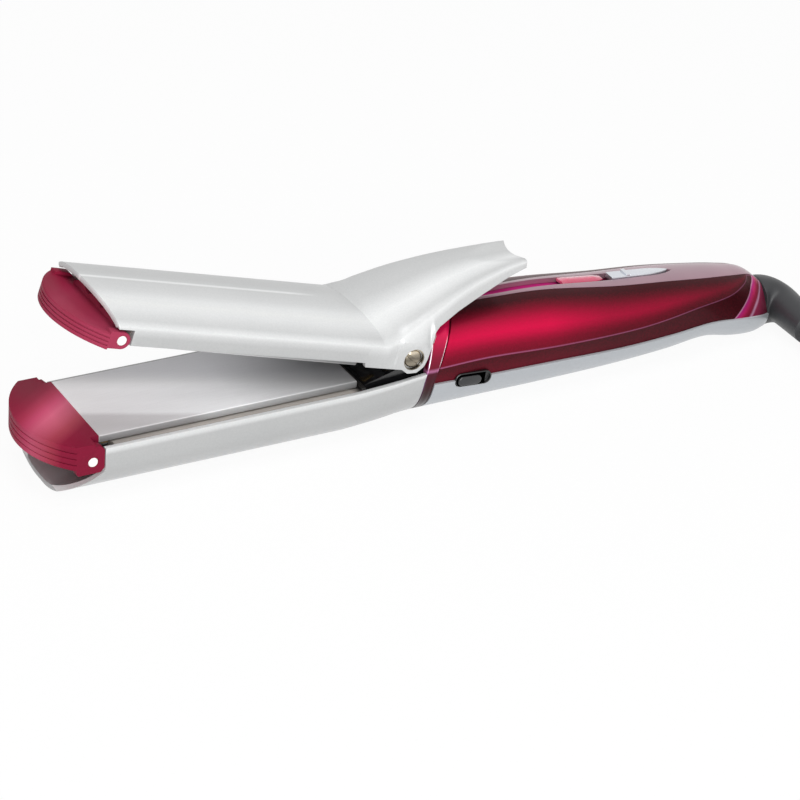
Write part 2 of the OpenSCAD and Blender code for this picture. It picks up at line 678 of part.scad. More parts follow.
module lower_tip_cap() {
    color(crimson) placed() difference() {
        union() {
            cap_body(jaw_reach, lower_cap_t, lower_wide_x);
            box([lower_wide_x - overlap, -plate_w / 2, plate_face_z - plate_t],
                [plate_x0, plate_w / 2, plate_face_z]);
            box([lower_wide_x - overlap, -heater_half, plate_face_z - lower_cap_t],
                [plate_x0, heater_half, plate_face_z - plate_t + overlap]);
            cap_back(plate_x0 - 2, crimp_h);
            both_sides() lower_ear();
        }
        pin_bores(lower_pin_x, lower_pin_z);
    }
}
upper_x0 = plate_x0 + 3;
upper_reach = jaw_reach - 5.5;
upper_pin_x = plate_x0 + 1;
upper_pin_z = plate_face_z - 3.04;
upper_ear_r = 2.6;
notch_gap = 1.4;
module upper_tip_cap() {
    color(crimson) upper_plate_frame() difference() {
        union() {
            cap_body(upper_reach, upper_cap_t, plate_x0 - 3);
            box([plate_x0 - 3 - overlap, -ear_in + overlap, plate_face_z - upper_cap_t],
                [upper_x0, ear_in - overlap, plate_face_z]);
            cap_back(upper_x0 - 2, crimp_h);
            both_sides() {
                box([plate_x0 - 3.2, ear_in, upper_pin_z - upper_ear_r],
                    [upper_pin_x, jaw_half, upper_pin_z + upper_ear_r]);
                box([plate_x0 - 3.2, ear_in - 1, upper_pin_z - 1.7], [upper_pin_x, ear_in + overlap,
                    upper_pin_z + upper_ear_r]);
                translate([upper_pin_x, 0, upper_pin_z]) along_y(upper_ear_r, ear_in, jaw_half);
            }
        }
        pin_bores(upper_pin_x, upper_pin_z);
    }
}
pin_len = 1.5;
pin_depth = pin_len + pin_travel + 0.1;
module release_pin(x, z, side) {
    color([0.94, 0.94, 0.92]) translate([x, 0, z])
        if (side < 0) along_y(pin_d / 2, -jaw_half, -jaw_half + pin_len, 32);
        else along_y(pin_d / 2, jaw_half - pin_len, jaw_half, 32);
}

// ---- upper jaw ----
jaw_top = 6.9;
jaw_crease = 3.4;
jaw_edge = -2.2;
hinge_edge = -3.6;
tail_half = lever_tail_w / 2;
// [x, half width and height of the lower edge, half width and height of the crease, top]
UPPER = [
    [plate_x0 + 0.7, jaw_half, jaw_edge, jaw_half, jaw_crease, jaw_top],
    [-60, jaw_half, jaw_edge, jaw_half, jaw_crease, jaw_top],
    [-16.9, jaw_half, jaw_edge, jaw_half, jaw_crease, jaw_top],
    [-16.5, jaw_half, hinge_edge, jaw_half, jaw_crease, jaw_top],
    [-12, jaw_half, hinge_edge, jaw_half, jaw_crease, jaw_top],
    [-9.8, jaw_half, hinge_edge, jaw_half - 0.05, 3.4, 9.2],
    [-6.5, jaw_half, hinge_edge, jaw_half - 1.2, 5.3, 11.0],
    [-3.4, jaw_half, hinge_edge, jaw_half - 2.0, 7.7, 12.7],
    [0, jaw_half, 0, jaw_half - 2.9, 10.1, 14.5],
    [3.2, jaw_half, 0, jaw_half - 3.8, 12.2, 16.3],
    [3.6, jaw_half - 0.2, 7.3, jaw_half - 3.9, 12.5, 16.6],
    [7.1, jaw_half - 2.5, 10.4, jaw_half - 5.1, 14.7, 18.8],
    [14.7, jaw_half - 6, 14.6, jaw_half - 7.6, 19.2, 22.6],
    [22, tail_half + 4.4, 18.5, tail_half + 3.1, 22.95, 25.6],
    [28.1, tail_half + 2.7, 22.0, tail_half + 1.55, 25.6, 27.8],
    [33.1, tail_half + 1.3, 24.8, tail_half + 0.4, 27.6, 29.6],
    [37.3, tail_half + 0.4, 26.9, tail_half - 0.25, 29.0, 30.7],
    [lever_reach, tail_half, 27.9, tail_half - 0.55, 29.65, 31.2]
];
crown_steps = 12;
crown_power = 2.3;
function upper_section(x, inset) =
    let (
        low = straight(UPPER, x, 1) - inset,
        edge = straight(UPPER, x, 2),
        hw = straight(UPPER, x, 3) - inset,
        crease = straight(UPPER, x, 4) - 0.7 * inset,
        crown = straight(UPPER, x, 5) - inset - crease
    )
    concat([[-low, edge]],
        [for (j = [0 : crown_steps]) let (a = 180 * j / crown_steps)
            [-hw * sign(cos(a)) * pow(abs(cos(a)), 2 / crown_power),
                crease + crown * pow(sin(a), 2 / crown_power)]],
        [[low, edge]]);
upper_xs = [for (r = UPPER) r[0]];
function upper_jaw_row(x, inset) =
    let (lean = x < -90 ? 0.35 : 0)
    [for (p = upper_section(x, inset)) [x - lean * (p[1] + 2.2), p[0], p[1]]];
module upper_jaw_shell() {
    color(pearl) upper_shell_frame() difference() {
        union() {
            wall_loft([for (x = upper_xs) upper_jaw_row(x, 0)], [for (x = upper_xs) upper_jaw_row(x, jaw_wall)]);
            both_sides() along_y(boss_r, boss_in, jaw_half);
        }
        both_sides() {
            along_y(shoulder_r + run_fit, boss_in - 1, jaw_half + 1);
            along_y(recess_r, recess_floor, jaw_half + 1);
        }
        both_sides() box([-jaw_reach, ear_in - 1, -10], [upper_pin_x + upper_ear_r + notch_gap, jaw_half + 2,
            jaw_crease]);
    }
}
module upper_jaw_carrier() {
    color(black) upper_plate_frame() carrier(plate_face_z - 5.8, plate_face_z - plate_t - rail_gap,
        plate_face_z - 7, plate_x1 + 0.5, plate_x1 + 2.5, rail_out - 0.1);
}

// ---- cord swivel, guard, cord and plug ----
swivel_r = 4;
flange_r = 5.6;
socket_len = 8;
socket_r = end_w / 2 - handle_wall - 0.9;
exit_x = handle_reach + move_gap;
module swivel_socket() {
    color([0.2, 0.2, 0.21]) placed() translate([0, 0, end_z]) difference() {
        along_x(socket_r, handle_reach - socket_len, handle_reach - 0.2);
        along_x(swivel_r + run_fit, handle_reach - socket_len - 1, handle_reach + 1);
    }
}
module swivel_hub() {
    color(black) placed() translate([0, 0, end_z]) difference() {
        union() {
            along_x(swivel_r, handle_reach - socket_len - 3, exit_x);
            along_x(flange_r, handle_reach - socket_len - 2.4, handle_reach - socket_len - move_gap);
        }
        along_x(cord_d / 2 - 0.5, handle_reach - socket_len - 4, exit_x - 2, 24);
    }
}
// Guard: a domed root on the swivel and a ribbed tail to the near side
guard_offset = 7.4;
guard_tail = 45.4;
guard_fall = 2.6;
guard_root_r = 8.4;
guard_mid_r = 5.9;
guard_end_r = 4.2;
guard_x = exit_x + guard_offset;
guard_steps = 18;
guard_smooth = 8;
guard_path = [for (i = [0 : guard_steps]) let (u = i / guard_steps)
    [guard_x, -guard_tail * u, end_z - guard_fall * u * u * (3 - 2 * u)]];
function guard_radius(i) =
    let (u = i / guard_steps, r = guard_mid_r + 0.5 + (guard_end_r - guard_mid_r - 0.5) * u)
    (i >= guard_smooth && i % 2 == 1 && i < guard_steps - 1) ? r - 1.1 : r;
module cord_guard() {
    r = guard_root_r;
    color([0.19, 0.19, 0.20]) placed() {
        translate([exit_x, 0, end_z]) rotate([0, 90, 0]) rotate_extrude($fn = 48)
            polygon([[0, 0], [r - 0.5, 0], [r, 0.6], [r, 5], [r - 1, 8.6], [r - 3.2, 11.4], [0, 13.2]]);
        tube(guard_path, [for (i = [0 : guard_steps]) guard_radius(i)], 10);
    }
}
// Route of the lead from the guard to the coil, chosen by hand, about the hinge
tie_strap = 0.3;
cord_z = table_z + tie_strap + cord_d / 2;
lead_end_z = end_z - guard_fall;
lead_bend = 28;
lead_y = -79.6;
coil_x = guard_x + coil_r + 4.6;
coil_y = lead_y + coil_r;
lead_path = concat(
    [[guard_x, -guard_tail, lead_end_z], [guard_x, -guard_tail - cord_d, lead_end_z - 0.1]],
    [for (i = [1 : 9]) let (a = 10 * i, u = min(1, i / 8))
        [guard_x + lead_bend * (1 - cos(a)), lead_y + lead_bend * (1 - sin(a)),
            lead_end_z - 0.1 + (cord_z - lead_end_z + 0.1) * u * u * (3 - 2 * u)]],
    [[(guard_x + lead_bend + coil_x) / 2, lead_y, cord_z], [coil_x - cord_d, lead_y, cord_z]]);
module cord_lead() {
    color([0.15, 0.15, 0.16]) placed()
        tube(lead_path, [for (p = lead_path) cord_d / 2], 10);
}
coil_step = cord_d + coil_gap;
coil_rings = 24;
coil_sides = 6;
coil_inner = coil_r - coil_turns * coil_step;
tail_bend = 26;
rise_turn = 20;
rise_len = 60;
plug_t = 14;
plug_axis_z = cord_z + coil_step + cord_d / 2 + plug_t / 2 + 0.05;
function coil_pt(t) =
    let (
        climb0 = coil_turns,
        climb1 = coil_turns + 0.5,
        r = t < climb0 ? coil_r - coil_step * t : t < climb1 ? coil_inner : coil_inner + coil_step * (t - climb1),
        u = max(0, min(1, (t - climb0) / 0.5)),
        tuck = coil_step / (2 * PI) * sin(180 * u),
        a = 270 + 360 * t
    )
    [coil_x + (r - tuck) * cos(a), coil_y + (r - tuck) * sin(a), cord_z + coil_step * u * u * (3 - 2 * u)];
coil_total = 2 * coil_turns + 0.5;
tail_x = coil_x - tail_bend;
tail_y = coil_y + coil_r - tail_bend;
tail_z = cord_z + coil_step;
// The last turn rises and crosses the coil in a long hump; s is the way past the last turn's end
function rise(s) = let (u = max(0, min(1, (s + rise_turn) / rise_len)))
    (plug_axis_z - tail_z) * u * u * (3 - 2 * u);
coil_loops = [for (i = [0 : coil_total * coil_rings])
    coil_pt(i / coil_rings) + [0, 0, rise((i / coil_rings - coil_total) * 2 * PI * coil_r)]];
coil_tail = [for (a = [15 : 15 : 90])
    [coil_x - tail_bend * sin(a), tail_y + tail_bend * cos(a), tail_z + rise(tail_bend * a * PI / 180)]];
coil_path = concat([[coil_x - cord_d, lead_y, cord_z]], coil_loops, coil_tail,
    [[tail_x, tail_y - cord_d, plug_axis_z]]);
module cord_coil() {
    color([0.15, 0.15, 0.16]) placed() tube(coil_path, [for (p = coil_path) cord_d / 2], coil_sides);
}
// Least distance between points more than half a turn apart, less one diameter
coil_least = min([for (i = [0 : len(coil_path) - 1], k = [i + coil_rings / 2 : len(coil_path) - 1])
    norm(coil_path[i] - coil_path[k])]) - cord_d;
function path_len(p) =
    [for (i = 1, s = 0; i <= len(p); s = s + (i < len(p) ? norm(p[i] - p[i - 1]) : 0), i = i + 1) s][len(p) - 1];
echo(coil_gap_to_itself = coil_least, cord_length = path_len(lead_path) + path_len(coil_path));
tie_w = 8;
tie_t = 1.2;
module coil_tie() {
    span_in = coil_inner - cord_d / 2 - 0.6;
    span_out = coil_r + cord_d / 2 + 0.6;
    low = table_z;
    high = cord_z + coil_step + cord_d / 2 + 0.6 + tie_t;
    color([0.10, 0.10, 0.11]) placed() translate([coil_x, coil_y, 0]) rotate([0, 0, tie_angle]) difference() {
        box([span_in - tie_t, -tie_w / 2, low], [span_out + tie_t, tie_w / 2, high]);
        box([span_in, -tie_w, low + tie_strap - 0.02], [span_out, tie_w, high - tie_t]);
    }
}
tie_angle = 0;
plug_len = 36;
plug_w = 26;
plug_nose = 16;
plug_y0 = tail_y - cord_d;
plug_pin_r = 2;
plug_pin_len = 19;
plug_pin_gap = 18.6;
module plug_body() {
    color([0.13, 0.13, 0.14]) placed() translate([tail_x, plug_y0, plug_axis_z]) {
        rotate([90, 0, 0]) cylinder(r1 = cord_d / 2 + 0.6, r2 = 5.4, h = plug_nose, $fn = 32);
        rotate([90, 0, 0]) translate([0, 0, plug_nose - overlap]) linear_extrude(plug_len)
            polygon([[-plug_w / 2, -4], [-plug_w / 2 + 3, -plug_t / 2], [plug_w / 2 - 3, -plug_t / 2],
                [plug_w / 2, -4], [plug_w / 2, 4], [plug_w / 2 - 3, plug_t / 2],
                [-plug_w / 2 + 3, plug_t / 2], [-plug_w / 2, 4]]);
    }
}
module plug_pins() {
    y1 = plug_y0 - plug_nose - plug_len + overlap;
    color([0.85, 0.83, 0.78]) placed() for (s = [-1, 1])
        translate([tail_x + s * plug_pin_gap / 2, 0, plug_axis_z]) along_y(plug_pin_r, y1 - plug_pin_len, y1, 32);
}

module power_slider() {
    half = slot_half - 0.35;
    color([0.86, 0.87, 0.89]) placed() slider_frame() {
        translate([0, 0, -strip_t + move_gap]) linear_extrude(strip_t - move_gap + 0.5)
            slot_outline(-slider_len / 2, slider_len / 2, half, 8.4);
        box([-5.6, -half, 0.4], [-4.4, half, 1.1]);
        box([-stem_x / 2, -stem_y / 2, -7.4], [stem_x / 2, stem_y / 2, -strip_t + move_gap + overlap]);
    }
}
module lower_flat_plate() { color(satin) placed() flat_plate(plate_x0); }
module lower_crimp_plate() { color(satin) placed() crimp_plate(plate_x0); }
module lower_heater() { color([0.45, 0.36, 0.28]) placed() heater(plate_x0); }
module lower_contacts() { color(brass) placed() contacts(); }
module upper_flat_plate() { color(satin) upper_plate_frame() flat_plate(upper_x0); }
module upper_crimp_plate() { color(satin) upper_plate_frame() crimp_plate(upper_x0); }
module upper_heater() { color([0.45, 0.36, 0.28]) upper_plate_frame() heater(upper_x0); }
module upper_contacts() { color(brass) upper_plate_frame() contacts(); }
module lower_pin_near() { placed() release_pin(lower_pin_x, lower_pin_z, -1); }
module lower_pin_far() { placed() release_pin(lower_pin_x, lower_pin_z, 1); }
module upper_pin_near() { upper_plate_frame() release_pin(upper_pin_x, upper_pin_z, -1); }
module upper_pin_far() { upper_plate_frame() release_pin(upper_pin_x, upper_pin_z, 1); }

handle_upper_shell();
handle_lower_shell();
control_strip();
collar_ring();
pilot_lens();
lock_bezel();
handle_chassis();
control_board();
slide_switch();
pilot_led();
thermal_fuse();
handle_leads();
handle_screws();
hinge_yoke();
hinge_axle();
hinge_screws();
torsion_spring();
lower_jaw_shell();
lower_jaw_carrier();
swivel_socket();
upper_jaw_shell();
upper_jaw_carrier();
lower_flat_plate();
lower_crimp_plate();
lower_heater();
lower_tip_cap();
lower_contacts();
upper_flat_plate();
upper_crimp_plate();
upper_heater();
upper_tip_cap();
upper_contacts();
lower_pin_near();
lower_pin_far();
upper_pin_near();
upper_pin_far();
power_slider();
jaw_lock();
swivel_hub();
cord_guard();
cord_lead();
cord_coil();
coil_tie();
plug_body();
plug_pins();
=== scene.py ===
"""Hair crimper: two hinged jaws, a thumb lever, a lacquered handle and a swivel mains cord."""
import json
import math

import bmesh
import bpy
from mathutils import Matrix, Vector

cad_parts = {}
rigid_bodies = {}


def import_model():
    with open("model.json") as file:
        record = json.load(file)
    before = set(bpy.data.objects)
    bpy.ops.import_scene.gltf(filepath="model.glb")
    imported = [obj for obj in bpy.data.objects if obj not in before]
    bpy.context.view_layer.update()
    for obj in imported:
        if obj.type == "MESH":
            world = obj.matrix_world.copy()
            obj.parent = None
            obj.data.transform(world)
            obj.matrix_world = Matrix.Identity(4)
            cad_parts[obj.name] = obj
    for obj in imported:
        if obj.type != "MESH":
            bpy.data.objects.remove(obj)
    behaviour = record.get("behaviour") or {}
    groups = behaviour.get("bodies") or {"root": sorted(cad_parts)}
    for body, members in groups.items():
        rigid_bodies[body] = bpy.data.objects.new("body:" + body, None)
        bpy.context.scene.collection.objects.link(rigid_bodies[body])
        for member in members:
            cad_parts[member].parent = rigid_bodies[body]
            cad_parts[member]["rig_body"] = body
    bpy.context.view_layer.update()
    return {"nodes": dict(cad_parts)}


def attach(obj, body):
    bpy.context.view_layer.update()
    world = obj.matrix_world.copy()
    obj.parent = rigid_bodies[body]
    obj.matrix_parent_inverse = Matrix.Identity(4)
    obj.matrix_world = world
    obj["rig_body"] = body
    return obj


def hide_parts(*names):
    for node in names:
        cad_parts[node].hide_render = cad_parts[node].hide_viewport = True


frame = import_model()

bl_info = {
    "name": "Hair crimper",
    "version": (1, 0, 0),
    "blender": (4, 5, 0),
    "location": "3D View > Sidebar > Crimper",
    "description": "Dresses the crimper's jaws, handle, trim and cord over its frame",
    "category": "Object",
}

# Shapes below are in millimetres about the hinge, which stands here in the frame
HINGE = (-10.5, 0.0, 27.0)
TABLE = -27.0
SHELL_ANGLE = math.radians(15.8)


def linear(code):
    """Linear colour of an sRGB hex value"""
    parts = [int(code[i:i + 2], 16) / 255 for i in (1, 3, 5)]
    return tuple(p / 12.92 if p <= 0.04045 else ((p + 0.055) / 1.055) ** 2.4 for p in parts) + (1.0,)


def at(x, y, z):
    """Point about the hinge, in the frame's metres"""
    return Vector((x + HINGE[0], y + HINGE[1], z + HINGE[2])) / 1000


def tilted(x, y, z):
    """Point of the opened upper jaw, in the frame's metres"""
    c, s = math.cos(SHELL_ANGLE), math.sin(SHELL_ANGLE)
    return at(c * x + s * z, y, c * z - s * x)


def crosswise(a, b, depth):
    """Place of a block that lies across the appliance"""
    return at(a, depth, b)


def smooth(t):
    """Soft step from 0 to 1"""
    t = max(0.0, min(1.0, t))
    return t * t * (3 - 2 * t)


def span_of(table, x):
    """Index of the station before x"""
    i = 0
    while i < len(table) - 2 and x >= table[i + 1][0]:
        i += 1
    return i


def straight(table, x, col):
    """Value of a table at x, on straight lines between its stations"""
    i = span_of(table, x)
    u = max(0.0, min(1.0, (x - table[i][0]) / (table[i + 1][0] - table[i][0])))
    return table[i][col] * (1 - u) + table[i + 1][col] * u


def along(table, x, col):
    """Value of a table at x, on a smooth curve through its stations"""
    i = span_of(table, x)
    h = table[i + 1][0] - table[i][0]
    u = max(0.0, min(1.0, (x - table[i][0]) / h))
    slopes = []
    for k in (i, i + 1):
        a, b = max(k - 1, 0), min(k + 1, len(table) - 1)
        slopes.append((table[b][col] - table[a][col]) / (table[b][0] - table[a][0]) * h)
    return (table[i][col] * (1 + 2 * u) * (1 - u) ** 2 + slopes[0] * u * (1 - u) ** 2
            + table[i + 1][col] * u * u * (3 - 2 * u) - slopes[1] * u * u * (1 - u))


def steps(*parts):
    """Stations from (first, last, count) runs, each without its last value but the final one"""
    out = []
    for first, last, count in parts:
        out += [first + (last - first) * i / count for i in range(count)]
    return out + [parts[-1][1]]


# x, half width, top, bottom and seam of the handle
HANDLE = [
    (8, 20.8, 6.8, -25.9, -10.6), (29.945, 19.5, 5.9, -26.4, -12.3), (53.885, 18.5, 5.2, -26.8, -13.5),
    (79.82, 17.4, 2.3, -26.4, -14.7), (99.77, 16.4, 0.5, -25.3, -14.5), (115.73, 14.7, -1.6, -24.0, -14.3),
    (127.7, 14.2, -3.6, -26.2, -15.3), (135.68, 12.6, -5.6, -27.15, -16.6), (141, 9.5, -9.7, -26.9, -18.3),
]
# x, height of the moulded ridge along the handle's side
RIDGE = [(8, -5.6), (28, -6.1), (56, -8), (84, -8.8), (107, -7.6), (122, -7.2), (131, -6.0), (137, -4.8),
         (141, -6.4)]
# x, half width of the trim strip
STRIP = [(21, 3.4), (46, 3.8), (62, 4.4), (91, 5.8), (114, 5.6), (130, 4.2), (141, 2.2)]
# x, crease: half width and height, and top of the upper jaw behind its valley
LEVER = [
    (-12, 21, 3.4, 6.9), (-9.8, 20.95, 3.4, 9.2), (-6.5, 19.8, 5.3, 11.0), (-3.4, 19.0, 7.7, 12.7),
    (0, 18.1, 10.1, 14.5), (3.6, 17.1, 12.5, 16.6), (7.1, 15.9, 14.7, 18.8), (14.7, 13.4, 19.2, 22.6),
    (22, 11.2, 22.95, 25.6), (28.1, 9.65, 25.6, 27.8), (33.1, 8.5, 27.6, 29.6), (37.3, 7.85, 29.0, 30.7),
    (39.5, 7.55, 29.65, 31.2),
]
# crease x, and the x, height and half width of the lower edge below it, round the hinge lobe
LOBE = [
    (-101, -101, -2.2, 21), (-16.9, -16.9, -2.2, 21), (-16.6, -16.6, -3.6, 21), (-6, -6, -3.6, 21),
    (-3.4, -3.2, -3.6, 21), (-1.5, -0.83, -4.73, 21), (0.4, 2.4, -4.16, 21), (1.8, 4.35, -2.03, 21),
    (2.8, 4.78, 0.42, 21), (3.6, 4.9, 4.0, 20.9), (4.6, 5.2, 8.7, 19.9), (7.1, 7.1, 10.4, 18.5),
    (14.7, 14.7, 14.6, 15), (22, 22, 18.5, 12.5), (28.1, 28.1, 22.0, 10.8), (33.1, 33.1, 24.8, 9.4),
    (37.3, 37.3, 26.9, 8.5), (39.5, 39.5, 27.9, 8.1),
]
# x, half width, top edge, centre of the curve and bottom of the lower jaw
LOWER = [
    (-60, 21, -8, -13.4, -27.2), (-22, 21, -8, -13.4, -27.2),
    (-18, 21, -8, -13.2, -27.1), (-9, 21, -7.5, -12, -26.6), (0, 20.9, -7, -10.6, -26.1),
    (8, 20.8, -6.4, -9.55, -25.9),
]
# half width, top and bottom of the collar
COLLAR = (20.8, 6.8, -25.9)
# x where the handle starts, and the length over which its raked edge straightens
NECK = 8
RAKE_FADE = 34


def rake_front(z):
    """x of the raked joint between the jaws and the collar"""
    return 3.8 + 0.019 * max(0.0, z + 15) ** 2


def rake_rear(z):
    """x of the raked joint between the collar and the handle"""
    return 7.9 + 0.031 * max(0.0, z + 14) ** 2


def handle_point(x, a):
    """Point on the handle's section at station x; angle 0 is the near side, 90 the top"""
    half, top, low = (along(HANDLE, x, c) for c in (1, 2, 3))
    z = (top + low) / 2 + (top - low) / 2 * math.sin(a)
    fade = max(0.0, 1 - (x - NECK) / RAKE_FADE) ** 2
    return x + (rake_rear(z) - NECK) * fade, -half * math.cos(a), max(z, TABLE)


def angle_of(x, z):
    """Angle at which the handle's section at x has the height z"""
    top, low = along(HANDLE, x, 2), along(HANDLE, x, 3)
    return math.asin(max(-1.0, min(1.0, (z - (top + low) / 2) / ((top - low) / 2))))


def crown_drop(x, y):
    """How far the handle's section at x has dropped below its top at y"""
    half, deep = along(HANDLE, x, 1), (along(HANDLE, x, 2) - along(HANDLE, x, 3)) / 2
    return deep * (1 - math.sqrt(max(0.0, 1 - (y / half) ** 2)))


# ---- sizes and colours that a user would change ----
def size_of(name, description, millimetres):
    return bpy.props.FloatProperty(name=name, description=description, default=millimetres / 1000,
                                   precision=5, subtype="DISTANCE", unit="LENGTH")


def colour_of(name, description, code):
    return bpy.props.FloatVectorProperty(name=name, description=description, default=linear(code),
                                         size=4, min=0, max=1, subtype="COLOR")


class CrimperSizes(bpy.types.PropertyGroup):
    """Sizes of the dressed pieces"""
    jaw_wall: size_of("Jaw wall", "Wall of the two jaw shells", 1.5)
    handle_wall: size_of("Handle wall", "Wall of the handle shells", 2.0)
    edge_round: size_of("Edge rounding", "Rounding of the moulded edges", 0.35)
    dish_depth: size_of("Thumb dish depth", "Depth of the dish at the lever's tail", 1.7)
    dish_length: size_of("Thumb dish length", "Length of the dish at the lever's tail", 16)
    dish_width: size_of("Thumb dish width", "Half of the width of the dish", 6.6)
    undercut: size_of("Side undercut", "How far the side leans in below the ridge", 0.8)
    strip_depth: size_of("Strip depth", "Thickness of the trim strip", 1.6)
    cord_diameter: size_of("Cord diameter", "Outside diameter of the mains cord", 6.2)
    rib_depth: size_of("Rib depth", "Depth of the gaps between the guard's ribs", 1.1)


class CrimperColours(bpy.types.PropertyGroup):
    """Colours of the finishes"""
    pearl: colour_of("Pearl lacquer", "Jaw shells", "#FBFCFC")
    silver: colour_of("Silver lacquer", "Lower handle shell", "#EFF4FA")
    # The bright and deep candy colours are the lacquer's painted highlight and painted shade
    candy: colour_of("Candy lacquer", "Bright part of the upper handle shell", "#CB0F42")
    candy_painted_shade: colour_of("Deep candy lacquer", "Dark part of the upper handle shell", "#3A0F15")
    collar: colour_of("Collar lacquer", "Band between the jaws and the handle", "#CC0E4A")
    strip: colour_of("Strip lacquer", "Trim strip along the handle", "#B18C99")
    cap: colour_of("Tip caps", "Crimson nylon of the tip caps", "#97203F")
    plate: colour_of("Plates", "Coated aluminium of the plates", "#A7A9AA")
    lens: colour_of("Pilot lens", "Tinted window over the pilot light", "#E23E6C")
    black: colour_of("Black mouldings", "Hinge core, lock and bezel", "#111113")
    rubber: colour_of("Rubber", "Cord guard", "#26272A")


def sizes():
    return bpy.context.scene.crimper_sizes


def colours():
    return bpy.context.scene.crimper_colours


# ---- mesh helpers ----
def surface(stations, columns, place, middle=None):
    """Faces between the stations along a shape, in so many columns across it, turned outwards. Corners sit
    at place(station, v), and the UV map keeps how far along and across each one is."""
    bm = bmesh.new()
    uv = bm.loops.layers.uv.new("surface")
    rows = len(stations) - 1
    bmesh.ops.create_grid(bm, x_segments=rows, y_segments=columns, size=1.0)
    spots = {v: ((v.co.x + 1) / 2, (v.co.y + 1) / 2) for v in bm.verts}
    for face in bm.faces:
        for loop in face.loops:
            loop[uv].uv = spots[loop.vert]
    for vert, (u, v) in spots.items():
        vert.co = place(stations[round(u * rows)], v)
    if middle is None:
        bmesh.ops.remove_doubles(bm, verts=bm.verts, dist=1e-6)
        bmesh.ops.holes_fill(bm, edges=[e for e in bm.edges if e.is_boundary], sides=0)
    return face_out(bm, middle)


def face_out(bm, middle=None):
    """Turn the faces away from a point of the middle, or a closed shape's faces outwards by its volume"""
    bmesh.ops.recalc_face_normals(bm, faces=bm.faces)
    if middle is None:
        lean = bm.calc_volume(signed=True)
    else:
        lean = sum((f.calc_center_median() - middle).dot(f.normal) * f.calc_area() for f in bm.faces)
    if lean < 0:
        bmesh.ops.reverse_faces(bm, faces=bm.faces)
    return bm


def block(outline, low, high, place):
    """Prism of an outline between two depths; place turns (a, b, depth) to the frame"""
    bm = bmesh.new()
    face = bm.faces.new([bm.verts.new((a, b, low)) for a, b in outline])
    grown = bmesh.ops.extrude_face_region(bm, geom=[face])["geom"]
    top = [g for g in grown if isinstance(g, bmesh.types.BMVert)]
    bmesh.ops.translate(bm, vec=(0, 0, high - low), verts=top)
    for vert in bm.verts:
        vert.co = place(*vert.co)
    return face_out(bm)


def turned(profile, place):
    """Shape turned from (radius, depth) points; place turns (a, b, depth) to the frame"""
    bm = bmesh.new()
    verts = [bm.verts.new((r, 0, d)) for r, d in profile]
    edges = [bm.edges.new(pair) for pair in zip(verts, verts[1:])]
    bmesh.ops.spin(bm, geom=verts + edges, cent=(0, 0, 0), axis=(0, 0, 1), angle=2 * math.pi, steps=48,
                   use_merge=True)
    bmesh.ops.remove_doubles(bm, verts=bm.verts, dist=1e-4)
    for vert in bm.verts:
        vert.co = place(*vert.co)
    return face_out(bm)


def join(bm, *others):
    """Add other bmeshes' faces to a bmesh"""
    for other in others:
        mesh = bpy.data.meshes.new("joined")
        other.to_mesh(mesh)
        other.free()
        bm.from_mesh(mesh)
        bpy.data.meshes.remove(mesh)
    return bm


def box_outline(x0, y0, x1, y1):
    return [(x0, y0), (x1, y0), (x1, y1), (x0, y1)]


def stadium(cx, cy, length, height, turn=0.0, count=12):
    """Outline of a slot with round ends, turned by an angle; a disc where it is as long as high"""
    r, out = height / 2, []
    for side, start in ((1, -90), (-1, 90)):
        for i in range(count + 1):
            a = math.radians(start + 180 * i / count)
            out.append((side * (length / 2 - r) + r * math.cos(a), r * math.sin(a)))
    c, s = math.cos(turn), math.sin(turn)
    return [(cx + c * x + s * y, cy - s * x + c * y) for x, y in out]


def round_edges(bm, width, segments=2, angle=30):
    """Bevel the edges that turn by more than an angle"""
    sharp = [e for e in bm.edges if e.is_manifold and e.calc_face_angle(0.0) > math.radians(angle)]
    bmesh.ops.bevel(bm, geom=sharp, offset=width / 1000, offset_type="OFFSET", affect="EDGES",
                    segments=segments, profile=0.5, material=-1, clamp_overlap=True)


def add_piece(name, bm, node, key, wall=0.0, rounding=0.0, angle=35):
    """Object of a finished bmesh, riding on its CAD node's body in place of that node"""
    mesh = bpy.data.meshes.new(name)
    bm.to_mesh(mesh)
    bm.free()
    mesh.materials.append(finish(key))
    mesh.shade_smooth()
    mesh.set_sharp_from_angle(angle=math.radians(angle))
    piece = bpy.data.objects.new(name, mesh)
    bpy.context.scene.collection.objects.link(piece)
    if wall:
        solid = piece.modifiers.new("wall", "SOLIDIFY")
        solid.thickness = wall
        solid.offset = -1
        solid.use_even_offset = True
    if rounding:
        add_bevel(piece, rounding)
    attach(piece, frame["nodes"][node]["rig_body"])
    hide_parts(node)
    return piece


def finish_node(node, key, slot, rounding=0.0, segments=2, angle=28):
    """Copy of a CAD node with its triangles merged, its edges rounded and a finish"""
    bm = bmesh.new()
    bm.from_mesh(frame["nodes"][node].data)
    bmesh.ops.remove_doubles(bm, verts=bm.verts, dist=2e-6)
    bmesh.ops.dissolve_limit(bm, angle_limit=math.radians(0.6), verts=bm.verts, edges=bm.edges)
    if rounding:
        round_edges(bm, rounding, segments, angle)
    return add_piece(f"{node}_finish", bm, node, key, angle=30)


def add_bevel(piece, width, angle=32):
    bevel = piece.modifiers.new("edges", "BEVEL")
    bevel.width = width
    bevel.segments = 2
    bevel.limit_method = "ANGLE"
    bevel.angle_limit = math.radians(angle)


